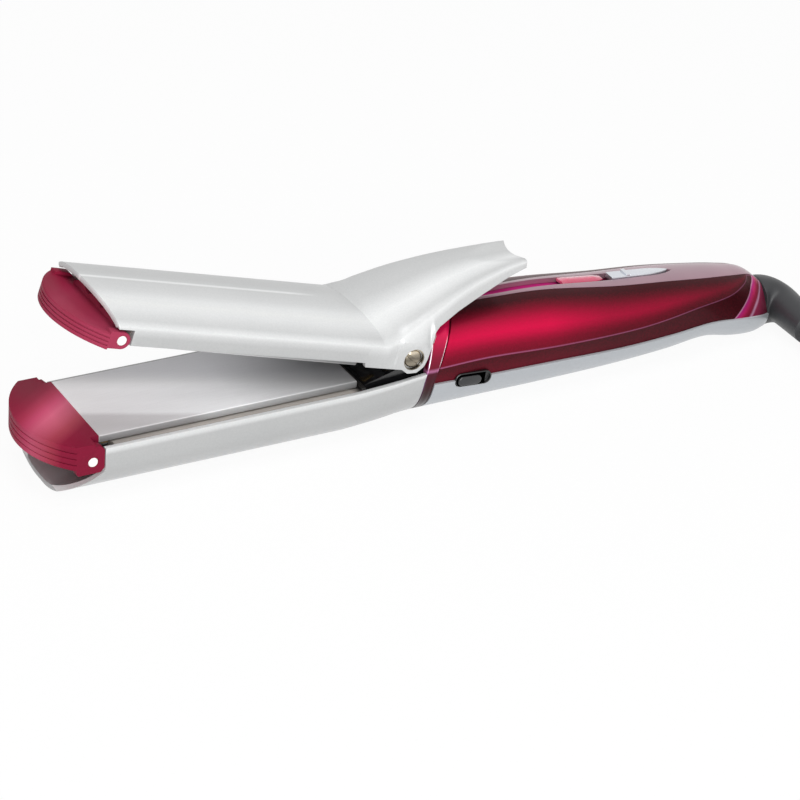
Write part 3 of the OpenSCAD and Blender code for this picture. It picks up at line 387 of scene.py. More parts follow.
def carve(piece, *cutters):
    """Cut shapes out of a piece and keep the result as its own mesh"""
    helpers = []
    for bm in cutters:
        mesh = bpy.data.meshes.new("cutter")
        bm.to_mesh(mesh)
        bm.free()
        helpers.append(bpy.data.objects.new("cutter", mesh))
        bpy.context.scene.collection.objects.link(helpers[-1])
        cut = piece.modifiers.new("cut", "BOOLEAN")
        cut.operation = "DIFFERENCE"
        cut.solver = "EXACT"
        cut.object = helpers[-1]
    bpy.context.view_layer.update()
    result = bpy.data.meshes.new_from_object(piece.evaluated_get(bpy.context.evaluated_depsgraph_get()))
    if not result.vertices:
        raise RuntimeError(f"the cuts left nothing of {piece.name}")
    piece.modifiers.clear()
    piece.data = result
    for helper in helpers:
        bpy.data.objects.remove(helper)


# ---- materials ----
BLEND = {"data_type": "RGBA"}
PRODUCT = {"data_type": "RGBA", "blend_type": "MULTIPLY"}


def toned(value):
    """Linear colour of a grey number, an sRGB hex value or a linear colour"""
    if isinstance(value, str):
        return linear(value)
    return value if isinstance(value, tuple) else (value, value, value, 1.0)


def shade(colour, factor):
    """Linear colour times a factor, at most full"""
    return tuple(min(1.0, c * factor) for c in colour[:3]) + (1.0,)


def add(tree, kind, sockets=None, stops=(), **settings):
    """Node with its settings and a ramp's (place, tone) stops. A socket gets a value, a hex colour, a
    (node, output) link or a node, which stands for its first output."""
    node = tree.nodes.new(f"ShaderNode{kind}")
    for key, value in settings.items():
        setattr(node, key, value)
    for key, value in (sockets or {}).items():
        if isinstance(value, bpy.types.Node):
            value = (value, next(i for i, output in enumerate(value.outputs) if output.enabled))
        if isinstance(value, tuple) and isinstance(value[0], bpy.types.Node):
            tree.links.new(value[0].outputs[value[1]], node.inputs[key])
        else:
            node.inputs[key].default_value = toned(value) if isinstance(value, str) else value
    while stops and len(node.color_ramp.elements) < len(stops):
        node.color_ramp.elements.new(1.0)
    for element, (place, tone) in zip(node.color_ramp.elements if stops else (), stops):
        element.position = place
        element.color = toned(tone)
    return node


def ramp_along(tree, source, low, high, stops):
    """Ramp of tones between two values of a link's source; stops are (value, tone) pairs"""
    way = add(tree, "MapRange", {"Value": source, "From Min": low, "From Max": high})
    return add(tree, "ValToRGB", {"Fac": way},
               [((value - low) / (high - low), tone) for value, tone in stops])


def flakes_of(tree, spot, size):
    """Random colour of each flake of so many millimetres"""
    flakes = add(tree, "TexVoronoi", {"Vector": spot, "Scale": 1000 / size})
    return add(tree, "SeparateColor", {"Color": (flakes, "Color")})


def grain_of(tree, spot, grain, depth, rough):
    """Fine grain of so many millimetres, and the sockets of the roughness and relief that it gives"""
    pores = add(tree, "TexNoise", {"Vector": spot, "Scale": 1000 / grain, "Detail": 3.0, "Roughness": 0.6})
    wear = add(tree, "MapRange", {"Value": pores, "To Min": max(0.02, rough - 0.06),
                                  "To Max": min(1.0, rough + 0.08)})
    bump = add(tree, "Bump", {"Height": pores, "Strength": 0.5, "Distance": depth / 1000})
    return pores, {"Roughness": wear, "Normal": bump}


def new_material(name, maker, *values):
    """Material whose surface is the node that its maker adds last; the maker gets the tree, the Object
    coordinates, the UV map and its values"""
    material = bpy.data.materials.new(name)
    material.use_nodes = True
    tree = material.node_tree
    tree.nodes.clear()
    place = add(tree, "TexCoord")
    add(tree, "OutputMaterial", {"Surface": maker(tree, (place, "Object"), (place, "UV"), *values)})
    return material


def moulded(tree, spot, _, colour, rough, metal, coat, grain, depth, spread=0.10, sheen=0.0, glow=0.0,
            fade=None):
    """Moulded, cast or drawn stock: even colour, slight clouding, a fine grain of so many millimetres.
    fade is an Object axis and (metres, grey) stops that the colour is multiplied by along it."""
    colour = toned(colour)
    clouds = add(tree, "TexNoise", {"Vector": spot, "Scale": 1000 / 18, "Detail": 2.0})
    paint = add(tree, "ValToRGB", {"Fac": clouds},
                [(0.3, shade(colour, 1 - spread)), (0.7, shade(colour, 1 + spread))])
    # The fade paints the rails' shade and the screws' reflections into the colour
    if fade:
        axis, stops = fade
        split = add(tree, "SeparateXYZ", {"Vector": spot})
        dimmed = ramp_along(tree, (split, axis), stops[0][0], stops[-1][0], stops)
        paint = add(tree, "Mix", {0: 1.0, 6: paint, 7: dimmed}, **PRODUCT)
    lit = {"Emission Color": colour, "Emission Strength": glow} if glow else {}
    return add(tree, "BsdfPrincipled", {
        "Base Color": paint, "Metallic": metal, "Coat Weight": coat, "Coat Roughness": 0.08,
        "Sheen Weight": sheen, **grain_of(tree, spot, grain, depth, rough)[1], **lit})


# Painted highlight and painted shade across each shell, from its near edge, in bands that stand for
# reflections in the pearl lacquer
JAW_PAINTED_LIGHT = [(0, "#B8B8B8"), (0.10, "#BABABA"), (0.165, "#CECECE"), (0.20, "#E2E2E2"), (0.235, "#DADADA"),
             (0.272, "#D0D0D0"), (0.31, "#DADADA"), (0.36, "#EAEAEA"), (0.40, "#F1F1F0"), (0.44, "#EDEDED"),
             (0.48, "#DCDCDC"), (0.505, "#D6D6D6"), (0.55, "#D0D0D0"), (0.59, "#C6C6C6"), (1, "#C6C6C6")]
LEVER_PAINTED_LIGHT = [(0, "#C6C6C6"), (0.12, "#CACACA"), (0.20, "#E2E2E2"), (0.226, "#D6D6D6"), (0.278, "#C6C6C6"),
               (0.303, "#CCCCCC"), (0.355, "#E4E4E4"), (0.407, "#F2F2F2"), (0.46, "#E4E4E4"),
               (0.51, "#CFCFCF"), (1, "#C8C8C8")]
LOWER_PAINTED_LIGHT = [(0, "#DCDCDC"), (0.02, "#D4D4D4"), (0.04, "#B6B6B6"), (0.16, "#B4B4B4"), (0.22, "#B9B9B9"),
               (0.27, "#C8C8C8"), (0.32, "#B6B6B6"), (0.38, "#A8A8A8"), (1, "#A8A8A8")]
UNDER_PAINTED_LIGHT = [(0, "#FAFAFA"), (0.03, "#F2F2F2"), (0.07, "#EAEAEA"), (0.16, "#E4E4E4"), (0.26, "#D8D8D8"),
               (0.36, "#C6C6C6"), (1, "#BEBEBE")]


def pearl_lacquer(tree, spot, mapped, colour, tones, rear_tones=None, metal=0.15):
    """Pearl lacquer over moulded ABS: pale and silky, mica flakes just show as a fine speckle; painted
    highlight and painted shade lie in bands across the shell
    """
    across = (add(tree, "SeparateXYZ", {"Vector": mapped}), "Y")
    tone = ramp_along(tree, across, 0, 1, tones)
    if rear_tones:
        x = (add(tree, "SeparateXYZ", {"Vector": spot}), "X")
        # Painted highlight line beside the middle of the crown, as far back as the valley
        line = ramp_along(tree, across, 0.50, 0.60, [(0.536, 0), (0.547, 0.9), (0.560, 0)])
        ahead = add(tree, "MapRange", {"Value": x, "From Min": -0.030, "From Max": -0.040})
        lit = add(tree, "Math", {0: line, 1: ahead}, operation="MULTIPLY")
        tone = add(tree, "Mix", {0: lit, 6: tone, 7: "#FAFAFA"}, **BLEND)
        # Behind the valley, the lever's bands of painted highlight and painted shade
        behind = add(tree, "MapRange", {"Value": x, "From Min": -0.030, "From Max": -0.012})
        tone = add(tree, "Mix", {0: behind, 6: tone, 7: ramp_along(tree, across, 0, 1, rear_tones)}, **BLEND)
    # Mica of about 0.1 mm, drawn at 0.35 mm so that it shows
    speck = flakes_of(tree, spot, 0.35)
    clouds = add(tree, "TexNoise", {"Vector": spot, "Scale": 1000 / 30, "Detail": 2.0})
    mica = add(tree, "MapRange", {"Value": (speck, "Red"), "To Max": 0.14})
    veil = add(tree, "MapRange", {"Value": clouds, "To Min": -0.10, "To Max": 0.14})
    both = add(tree, "Math", {0: mica, 1: veil}, operation="ADD", use_clamp=True)
    paint = add(tree, "Mix", {0: both, 6: colour, 7: "#C3C9CB"}, **BLEND)
    whole = add(tree, "Mix", {0: 1.0, 6: paint, 7: tone}, **PRODUCT)
    bump = add(tree, "Bump", {"Height": (speck, "Red"), "Strength": 0.08, "Distance": 0.00002})
    return add(tree, "BsdfPrincipled", {
        "Base Color": whole, "Normal": bump, "Metallic": metal, "Roughness": 0.38, "Coat Weight": 0.15,
        "Coat Roughness": 0.12})


def candy_lacquer(tree, spot, mapped, bright, deep):
    """Candy lacquer over a metallic base on ABS, with painted light: a painted highlight glows in the middle
    of the side and painted shade darkens it to its edges.
    The surface map gives the place across the side, Object coordinates the place along the handle."""
    across = (add(tree, "SeparateXYZ", {"Vector": mapped}), "Y")
    x = (add(tree, "SeparateXYZ", {"Vector": spot}), "X")
    # Either side runs from 0 at the seam over the ridge and the panel to 1 in the middle of the top
    fold = add(tree, "Math", {0: across, 1: 0.5}, operation="SUBTRACT")
    side = add(tree, "Math", {0: fold}, operation="ABSOLUTE")
    band = add(tree, "MapRange", {"Value": side, "From Min": 0.5, "From Max": 0.0})
    ridge = 2 * BELOW_RIDGE / UPPER_COLUMNS
    channel = 2 * (BELOW_RIDGE + PANEL + 0.5) / UPPER_COLUMNS
    # Painted highlight in the middle of the side, fading to painted shade at the seam, below the ridge and at
    # the top
    glow = ramp_along(tree, band, 0, 1, [
        (0, 0.15), (ridge - 0.02, 0.04), (ridge, 0.20), (0.31, 0.30), (0.36, 0.48), (0.41, 0.79), (0.463, 1),
        (0.51, 0.9), (0.565, 0.68), (0.62, 0.42), (0.67, 0.24), (0.72, 0.10), (0.77, 0)])
    # Painted shade that deepens towards the rear
    lengthwise = ramp_along(tree, x, 0, 0.13, [
        (0, 1), (0.042, 1), (0.053, 0.74), (0.064, 0.54), (0.087, 0.4), (0.110, 0.16), (0.124, 0.10)])
    both = add(tree, "Math", {0: glow, 1: lengthwise}, operation="MULTIPLY")
    # Aluminium flake of about 0.05 mm under the colour, drawn at 0.3 mm
    speck = flakes_of(tree, spot, 0.3)
    sparkle = add(tree, "MapRange", {"Value": (speck, "Green"), "To Min": -0.04, "To Max": 0.04})
    level = add(tree, "Math", {0: both, 1: sparkle}, operation="ADD", use_clamp=True)
    paint = add(tree, "Mix", {0: level, 6: deep, 7: bright}, **BLEND)
    # Painted highlight of the clear coat along the ridge, less and less towards the rear
    line = ramp_along(tree, band, 0.1, 0.4, [(ridge - 0.012, 0), (ridge, 0.8), (ridge + 0.014, 0)])
    reach = ramp_along(tree, x, 0, 0.13, [(0, 0.9), (0.05, 0.65), (0.11, 0.5)])
    lit = add(tree, "Math", {0: line, 1: reach}, operation="MULTIPLY")
    edged = add(tree, "Mix", {0: lit, 6: paint, 7: "#B06A92"}, **BLEND)
    # Rear end behind an edge that slants up from the seam to the ridge's end, painted as a facet with painted
    # highlight streaks and painted shade
    slope = add(tree, "VectorMath", {0: spot, 1: (1.0, 0.0, -1.46)}, operation="DOT_PRODUCT")
    behind = ramp_along(tree, slope, 0.09, 0.12, [(0.0956, 0), (0.0960, 1)])
    facet = ramp_along(tree, slope, 0.09, 0.12, [
        (0.0960, "#C98FAB"), (0.0969, "#B62C7E"), (0.0990, "#C02862"), (0.101, "#9A2244"),
        (0.1028, "#8A203A"), (0.1042, "#CE98B8"), (0.1056, "#9A2E52"), (0.110, "#842A48"),
        (0.115, "#6A2236"), (0.119, "#4A1624")])
    ended = add(tree, "Mix", {0: behind, 6: edged, 7: facet}, **BLEND)
    # Painted pink light in the front of the strip's channel, which lies in shade there
    inside = ramp_along(tree, band, 0.8, 1, [(channel - 0.004, 0), (channel + 0.004, 1)])
    before = ramp_along(tree, x, 0, 0.1, [(0.050, 1), (0.056, 0.1)])
    channel_painted_light = add(tree, "Math", {0: inside, 1: before}, operation="MULTIPLY")
    whole = add(tree, "Mix", {0: channel_painted_light, 6: ended, 7: "#D8268C"}, **BLEND)
    return add(tree, "BsdfPrincipled", {
        "Base Color": whole, "Metallic": 0.55, "Roughness": 0.40, "Specular IOR Level": 0.08,
        "Coat Weight": 0.06, "Coat Roughness": 0.06})


def gloss_lacquer(tree, spot, mapped, bright, deep):
    """Glossy lacquer of the collar band, with painted light: painted highlight above the handle's ridge line,
    painted shade nearly black under it, and the painted highlights of thick clear coat along its rims"""
    z = (add(tree, "SeparateXYZ", {"Vector": spot}), "Z")
    along_band = (add(tree, "SeparateXYZ", {"Vector": mapped}), "Y")
    # Painted light by height: painted shade under the ridge line, a painted highlight line at it and painted
    # highlight above
    tone = ramp_along(tree, z, 0, 0.035, [
        (0, shade(deep, 0.1)), (0.009, shade(deep, 0.3)), (0.014, shade(deep, 0.7)), (0.0203, "#4A0C20"),
        (0.021, "#B06A92"), (0.0218, shade(bright, 0.26)), (0.0245, shade(bright, 0.38)),
        (0.0263, shade(bright, 0.6)), (0.028, shade(bright, 0.95)), (0.0295, shade(bright, 1.3)),
        (0.0335, shade(bright, 1.3)), (0.035, bright)])
    clouds = add(tree, "TexNoise", {"Vector": spot, "Scale": 1000 / 12})
    veil = add(tree, "MapRange", {"Value": clouds, "To Max": 0.1})
    paint = add(tree, "Mix", {0: veil, 6: tone, 7: deep}, **BLEND)
    # Painted highlights along both rims, stronger higher up
    rim = ramp_along(tree, along_band, 0, 1, [
        (0.10, 0), (0.17, 0.55), (0.23, 0), (0.62, 0), (0.69, 0.55), (0.76, 0)])
    reach = ramp_along(tree, z, 0, 0.035, [(0.008, 0), (0.016, 0.6), (0.03, 0.9)])
    fade = add(tree, "Math", {0: rim, 1: reach}, operation="MULTIPLY")
    edged = add(tree, "Mix", {0: fade, 6: paint, 7: "#B985C4"}, **BLEND)
    # Two short painted highlights on the beads at half height
    bead = ramp_along(tree, along_band, 0, 1, [
        (0.17, 0), (0.21, 1), (0.27, 0), (0.58, 0), (0.63, 1), (0.68, 0)])
    window = ramp_along(tree, z, 0.018, 0.034, [(0.0215, 0), (0.023, 1), (0.0275, 1), (0.029, 0)])
    gleam = add(tree, "Math", {0: bead, 1: window}, operation="MULTIPLY")
    whole = add(tree, "Mix", {0: gleam, 6: edged, 7: "#F8EEF4"}, **BLEND)
    return add(tree, "BsdfPrincipled", {
        "Base Color": whole, "Metallic": 0.5, "Roughness": 0.30, "Specular IOR Level": 0.25,
        "Coat Weight": 0.2, "Coat Roughness": 0.03})


def satin_plate(tree, spot, _, colour, sheen=1.0):
    """Ceramic-coated aluminium, brushed along the plate: satin, with a fine straight grain and a broad
    painted sheen, a painted reflection that crosses it slantwise"""
    # Brush lines of about 0.1 mm, drawn at 0.4 mm across and thirty times as long
    turn = add(tree, "Mapping", {"Vector": spot, "Scale": (1000 / 12, 1000 / 0.4, 1000 / 0.4)})
    lines = add(tree, "TexNoise", {"Vector": turn, "Scale": 1.0, "Detail": 3.0})
    grit = add(tree, "TexNoise", {"Vector": spot, "Scale": 1000 / 0.35, "Detail": 2.0})
    mixed = add(tree, "Math", {0: lines, 1: grit}, operation="ADD")
    tone = add(tree, "MapRange", {"Value": mixed, "From Min": 0.6, "From Max": 1.4})
    part = add(tree, "SeparateXYZ", {"Vector": spot})
    # Painted sheen: a broad pale band of painted reflection crossing the plate slantwise
    slant = add(tree, "VectorMath", {0: spot, 1: (0.408, 1.0, 0.0)}, operation="DOT_PRODUCT")
    band = ramp_along(tree, slant, -0.056, -0.014, [
        (-0.056, "#C2C0C1"), (-0.0505, "#CECCCD"), (-0.048, "#F0F0F1"), (-0.042, "#F8F8F9"),
        (-0.034, "#F8F8F9"), (-0.0304, "#EEEEEF"), (-0.0278, "#DEDEDF"), (-0.0253, "#D2D2D4"),
        (-0.022, "#CACACD")])
    # Painted shade, darker towards the hinge under the upper jaw
    hinge_painted_shade = ramp_along(tree, (part, "X"), -0.115, -0.018, [
        (-0.115, 1), (-0.066, 1), (-0.050, 0.78), (-0.036, 0.60), (-0.018, 0.52)])
    shaded = add(tree, "Mix", {0: 1.0, 6: band, 7: hinge_painted_shade}, **PRODUCT)
    tinted = add(tree, "Mix", {0: sheen, 6: colour, 7: shaded}, **BLEND)
    # The plate's flanks lie in the carrier's shade
    flank = ramp_along(tree, (part, "Y"), -0.018, 0.018, [
        (-0.018, 0.40), (-0.01698, 0.42), (-0.01690, 1), (0.01690, 1), (0.01698, 0.42)])
    edged = add(tree, "Mix", {0: 1.0, 6: tinted, 7: flank}, **PRODUCT)
    grain = add(tree, "Mix", {0: tone, 6: toned(0.92), 7: toned(1.0)}, **BLEND)
    whole = add(tree, "Mix", {0: 1.0, 6: edged, 7: grain}, **PRODUCT)
    bump = add(tree, "Bump", {"Height": mixed, "Strength": 0.12, "Distance": 0.00003})
    return add(tree, "BsdfPrincipled", {
        "Base Color": whole, "Normal": bump, "Metallic": 0.25, "Roughness": 0.5})


def cap_nylon(tree, spot, _, colour, strength, near):
    """Glass-filled nylon from a spark-eroded mould: dull, with a soft rosy painted highlight across the dish
    """
    part = add(tree, "SeparateXYZ", {"Vector": spot})
    # Painted highlight: a rosy band that crosses the dish slantwise
    slant = add(tree, "VectorMath", {0: spot, 1: (-0.583, 0.812, 0.0)}, operation="DOT_PRODUCT")
    sheen = ramp_along(tree, slant, 0.052, 0.084, [
        (0.054, shade(colour, 0.66)), (0.058, shade(colour, 0.74)), (0.062, "#AA4555"), (0.066, "#D0647C"),
        (0.069, "#E6718F"), (0.072, "#DE5A80"), (0.075, "#C0405F"), (0.078, "#9A2644"),
        (0.081, shade(colour, 0.76)), (0.084, shade(colour, 0.70))])
    pores, relief = grain_of(tree, spot, 0.3, 0.012, 0.46)
    grain = ramp_along(tree, pores, 0, 1, [(0.3, 0.92), (0.7, 1.0)])
    # Painted light: the dish is paler towards the near ear, and the painted highlight fades towards the tip
    side = ramp_along(tree, (part, "Y"), -0.02, 0.02, [(-0.016, near), (0.004, shade(colour, 0.8))])
    fade = add(tree, "MapRange", {"Value": (part, "X"), "From Min": -0.1305, "From Max": -0.120,
                                  "To Min": 0.4 * strength, "To Max": strength})
    tone = add(tree, "Mix", {0: fade, 6: side, 7: sheen}, **BLEND)
    whole = add(tree, "Mix", {0: 1.0, 6: tone, 7: grain}, **PRODUCT)
    return add(tree, "BsdfPrincipled", {"Base Color": whole, "Specular IOR Level": 0.06, **relief})


def tinted_lens(tree, spot, mapped, colour):
    """Tinted clear acrylic over the pilot light: deep pink, darker at its lower edge, with a painted
    highlight along its upper edge
    """
    across = (add(tree, "SeparateXYZ", {"Vector": mapped}), "Y")
    tone = add(tree, "ValToRGB", {"Fac": across}, [
        (0.0, shade(colour, 0.7)), (0.35, colour), (0.7, "#F58FA8"), (1.0, colour)])
    haze = add(tree, "TexNoise", {"Vector": spot, "Scale": 1000 / 3})
    gloss = add(tree, "MapRange", {"Value": haze, "To Min": 0.05, "To Max": 0.16})
    return add(tree, "BsdfPrincipled", {
        "Base Color": tone, "Roughness": gloss, "Transmission Weight": 0.15, "IOR": 1.49, "Coat Weight": 1.0,
        "Coat Roughness": 0.02})


def seen_plainly(tree):
    """1 for rays from the camera, off a gloss or through a clear piece, 0 for those that light the scene"""
    path = add(tree, "LightPath")
    first = add(tree, "Math", {0: (path, "Is Camera Ray"), 1: (path, "Is Glossy Ray")}, operation="MAXIMUM")
    return add(tree, "Math", {0: first, 1: (path, "Is Transmission Ray")}, operation="MAXIMUM")


def white_paper(tree, spot, _):
    """Matt white paper sweep: mostly plain white to the eye, and it keeps a soft shadow"""
    fibre = add(tree, "TexNoise", {"Vector": spot, "Scale": 1000 / 2.0, "Detail": 2.0})
    tone = add(tree, "ValToRGB", {"Fac": fibre}, [(0.3, "#F4F4F4"), (0.7, "#FAFAFA")])
    base = add(tree, "BsdfPrincipled", {"Base Color": tone, "Roughness": 0.9, "Specular IOR Level": 0.1})
    share = add(tree, "Math", {0: seen_plainly(tree), 1: 0.93}, operation="MULTIPLY")
    white = add(tree, "Emission", {"Color": "#FFFFFF", "Strength": 1.0})
    return add(tree, "MixShader", {0: share, 1: base, 2: white})


MADE = {}


def finish(key):
    """Material of a finish, made once"""
    if key not in MADE:
        MADE[key] = new_material(*finishes()[key])
    return MADE[key]


def finishes():
    """Name, maker and values of each finish; for moulded stock these are its colour, roughness, metal, coat,
    grain and its depth in millimetres, spread of the colour, sheen, glow and fade"""
    c = colours()
    cap, plate = c.cap[:], c.plate[:]
    # Painted shade on the rails, deepest at the hinge, and painted reflections of dark and pale bands on the
    # screws' heads
    rail_painted_shade = ("X", [(-0.115, 0.7), (-0.09, 1.0), (-0.030, 1.0), (-0.0272, 0.02)])
    screw_painted_reflections = ("Z", [(0.0236, 0.22), (0.0258, 0.45), (0.0270, 0.24), (0.0284, 0.5), (0.0292, 1.0),
                        (0.0304, 0.6)])
    return {
        "upper_pearl": ("pearl_lacquer_upper_jaw", pearl_lacquer, c.pearl[:], JAW_PAINTED_LIGHT, LEVER_PAINTED_LIGHT),
        "lower_pearl": ("pearl_lacquer_lower_jaw", pearl_lacquer, c.pearl[:], LOWER_PAINTED_LIGHT),
        # The same lacquer over a cooler silver base
        "under_pearl": ("pearl_lacquer_lower_handle", pearl_lacquer, c.silver[:], UNDER_PAINTED_LIGHT, None, 0.4),
        "candy": ("candy_lacquered_abs", candy_lacquer, c.candy[:], c.candy_painted_shade[:]),
        "collar": ("gloss_lacquered_collar", gloss_lacquer, c.collar[:], c.candy_painted_shade[:]),
        # Metallised film: a soft lilac gloss
        "strip": ("lilac_metallic_film", moulded, shade(c.strip[:], 0.77), 0.32, 0.45, 0.5, 0.3, 0.006, 0.08),
        # Tip caps: strength of the painted highlight across the dish, and the painted light of its near side
        "lower_cap": ("crimson_nylon_lower_cap", cap_nylon, cap, 0.95, shade(cap, 0.8)),
        "upper_cap": ("crimson_nylon_upper_cap", cap_nylon, cap, 0.12, "#A43C56"),
        "plate": ("ceramic_coated_aluminium", satin_plate, plate),
        "crimp": ("ribbed_ceramic_coated_aluminium", satin_plate, shade(plate, 0.85), 0.0),
        # Polished ABS: deep black with crisp reflections
        "hinge": ("polished_black_abs", moulded, c.black[:], 0.16, 0.0, 0.6, 0.6, 0.004, 0.15),
        # Glass-filled nylon: dull black without a highlight
        "inner": ("matt_black_nylon", moulded, "#1B1B1D", 0.6, 0.0, 0.0, 0.3, 0.015),
        # Heat-proof PBT: a warm satin grey
        "rail": ("warm_grey_heatproof_pbt", moulded, "#A19B95", 0.5, 0.0, 0.0, 0.4, 0.01, 0.1, 0.0, 0.0,
                 rail_painted_shade),
        # Moulded ABS: satin black and charcoal with soft highlights
        "bezel": ("black_bezel_abs", moulded, "#0C0C0D", 0.3, 0.0, 0.3, 0.4, 0.006),
        "lock": ("charcoal_slider_abs", moulded, "#1E1F21", 0.3, 0.0, 0.3, 0.3, 0.008),
        # Vacuum-metallised ABS: cool silver, nearly a mirror
        "slider": ("metallised_slider", moulded, "#D5D8DE", 0.2, 0.75, 0.4, 0.5, 0.004),
        # Acetal: waxy white
        "pin": ("white_acetal", moulded, "#F2F0EC", 0.35, 0.0, 0.1, 0.4, 0.004, 0.03),
        "lens": ("tinted_acrylic", tinted_lens, c.lens[:]),
        # Nickel, steel and brass: warm, neutral, dark and yellow mirrors, blurred by turning and drawing
        "screw": ("nickelled_steel_screw", moulded, "#D9CDB8", 0.22, 0.9, 0.0, 0.5, 0.005, 0.1, 0.0, 0.0,
                  screw_painted_reflections),
        "axle": ("turned_steel", moulded, "#B9BBBE", 0.25, 1.0, 0.0, 0.4, 0.006),
        "spring": ("drawn_spring_steel", moulded, "#8D8F94", 0.3, 1.0, 0.0, 0.3, 0.006),
        "brass": ("drawn_brass", moulded, "#C9A45A", 0.25, 1.0, 0.0, 0.4, 0.006),
        "pins": ("nickelled_brass_pins", moulded, "#D9D3C2", 0.22, 1.0, 0.0, 0.4, 0.005),
        # Pressed mica: matt brown, cloudy
        "mica": ("pressed_mica_pad", moulded, "#8A7456", 0.6, 0.0, 0.0, 0.5, 0.02, 0.2),
        # Glass-epoxy board under solder resist, glazed ceramic and cast epoxy: glossy
        "board": ("green_glass_board", moulded, "#1E5B35", 0.35, 0.0, 0.4, 0.8, 0.01, 0.2),
        "fuse": ("glazed_fuse_ceramic", moulded, "#B9AC8C", 0.35, 0.0, 0.2, 0.6, 0.01),
        "led": ("red_led_epoxy", moulded, "#D8362C", 0.15, 0.0, 0.6, 0.8, 0.002, 0.1, 0.0, 0.3),
        # Silicone, PVC and rubber: satin to dull, with a broad soft highlight
        "wire": ("red_wire_silicone", moulded, "#8E2020", 0.5, 0.0, 0.0, 0.5, 0.008),
        "cord": ("extruded_black_pvc", moulded, "#242527", 0.42, 0.0, 0.0, 1.2, 0.03, 0.15),
        "plug": ("moulded_black_pvc", moulded, "#1F2023", 0.42, 0.0, 0.0, 0.4, 0.02),
        "rubber": ("moulded_black_rubber", moulded, c.rubber[:], 0.46, 0.0, 0.0, 0.5, 0.02, 0.15, 0.15),
    }


# ---- upper jaw ----
JAW_COLUMNS = 60
# Share of the columns in each side wall
WALL_PART = 0.2
JAW_STATIONS = steps((-101, -98, 5), (-98, -90, 4), (-90, -20, 14), (-20, -17.3, 3), (-17.3, -15.6, 8),
                     (-15.6, -12.3, 4), (-12.3, -11.7, 4), (-11.7, 5.2, 42), (5.2, 39.5, 36))
# Height up to which the hinge lobe stands upright
LOBE_FLAT = 5.4
# The crown is a superellipse that starts at an angle above its widest place
CROWN_FROM = math.radians(13)
CROWN_BEND = 2 / 2.3
# How far the lever's tail edge is drawn in, and how much the jaw's front edge leans
TAIL_DRAWN = 1.9
TIP_LEAN = 0.35


def jaw_point(x, v):
    """Point on the upper jaw; v runs from the near lower edge over the crown to the far one"""
    s = sizes()
    half, crease, top = (along(LEVER, x, c) for c in (1, 2, 3))
    side = -1 if v < 0.5 else 1
    if v < WALL_PART or v > 1 - WALL_PART:
        # Side wall: upright up to the lobe's flat height, then in to the crease
        t = (v if side < 0 else 1 - v) / WALL_PART
        x0, z0, y0 = (straight(LOBE, x, c) for c in (1, 2, 3))
        px, pz = x0 + (x - x0) * t, z0 + (crease - z0) * t
        foot = max(LOBE_FLAT * smooth((7 - x) / 6), z0)
        py = y0 + (half - y0) * (max(0.0, (pz - foot) / (crease - foot)) if crease > foot else t)
    else:
        a = math.pi * (v - WALL_PART) / (1 - 2 * WALL_PART)
        a = CROWN_FROM + (math.pi - 2 * CROWN_FROM) * a / math.pi
        s0 = math.sin(CROWN_FROM) ** CROWN_BEND
        py = half * (abs(math.cos(a)) / math.cos(CROWN_FROM)) ** CROWN_BEND
        pz = crease + (top - crease) * (math.sin(a) ** CROWN_BEND - s0) / (1 - s0)
        # Thumb dish, and the tail edge drawn in across its middle
        depth = 1 - ((x - LEVER[-1][0]) / (s.dish_length * 1000)) ** 2 - (py / (s.dish_width * 1000)) ** 2
        pz -= s.dish_depth * 1000 * max(0.0, depth)
        px = x - TAIL_DRAWN * smooth((x - 30) / 9.5) * max(0.0, 1 - (py / 7.4) ** 2)
    lean = TIP_LEAN * smooth((-88 - px) / 13)
    return tilted(px - lean * (pz + 2.2), side * py, pz)


class CRIMPER_OT_upper_jaw(bpy.types.Operator):
    """Upper jaw shell with its thumb lever, crown, creases and hinge lobes"""
    bl_idname = "crimper.upper_jaw"
    bl_label = "Upper jaw"

    def execute(self, context):
        s = sizes()
        bm = surface(JAW_STATIONS, JAW_COLUMNS, jaw_point, tilted(-40, 0, -6))
        shell = add_piece("upper_jaw_lacquered", bm, "upper_jaw_shell", "upper_pearl",
                          s.jaw_wall)
        # Room for the cap's ears, and the round recesses of the hinge screws
        ears, recesses = box_outline(-130, -10, -97.6, 2.6), stadium(0, 0, 7.0, 7.0, count=24)
        carve(shell, *[block(outline, side * low, side * 24, lambda a, b, d: tilted(a, d, b))
                       for outline, low in ((ears, 18.1), (recesses, 19.7)) for side in (-1, 1)])
        add_bevel(shell, s.edge_round)
        return {"FINISHED"}


# ---- lower jaw ----
LOWER_STATIONS = steps((-112.5, -100, 6), (-100, -24, 12), (-24, -16, 8), (-16, 8, 20))
RIM_PART = 0.1


def lower_jaw_point(x, v):
    """Point on the lower jaw; v runs from the near upper edge round the bottom to the far one"""
    half, edge, mid, low = (along(LOWER, x, c) if x > -22 else LOWER[0][c] for c in (1, 2, 3, 4))
    if v < RIM_PART or v > 1 - RIM_PART:
        y, z = (-half if v < 0.5 else half), edge + (mid - edge) * (min(v, 1 - v) / RIM_PART)
    else:
        a = math.pi * (v - RIM_PART) / (1 - 2 * RIM_PART)
        y, z = -half * math.cos(a), mid + (low - mid) * math.sin(a)
    return at(x + (rake_front(z) - NECK) * smooth((x + 9) / 17), y, max(z, TABLE))


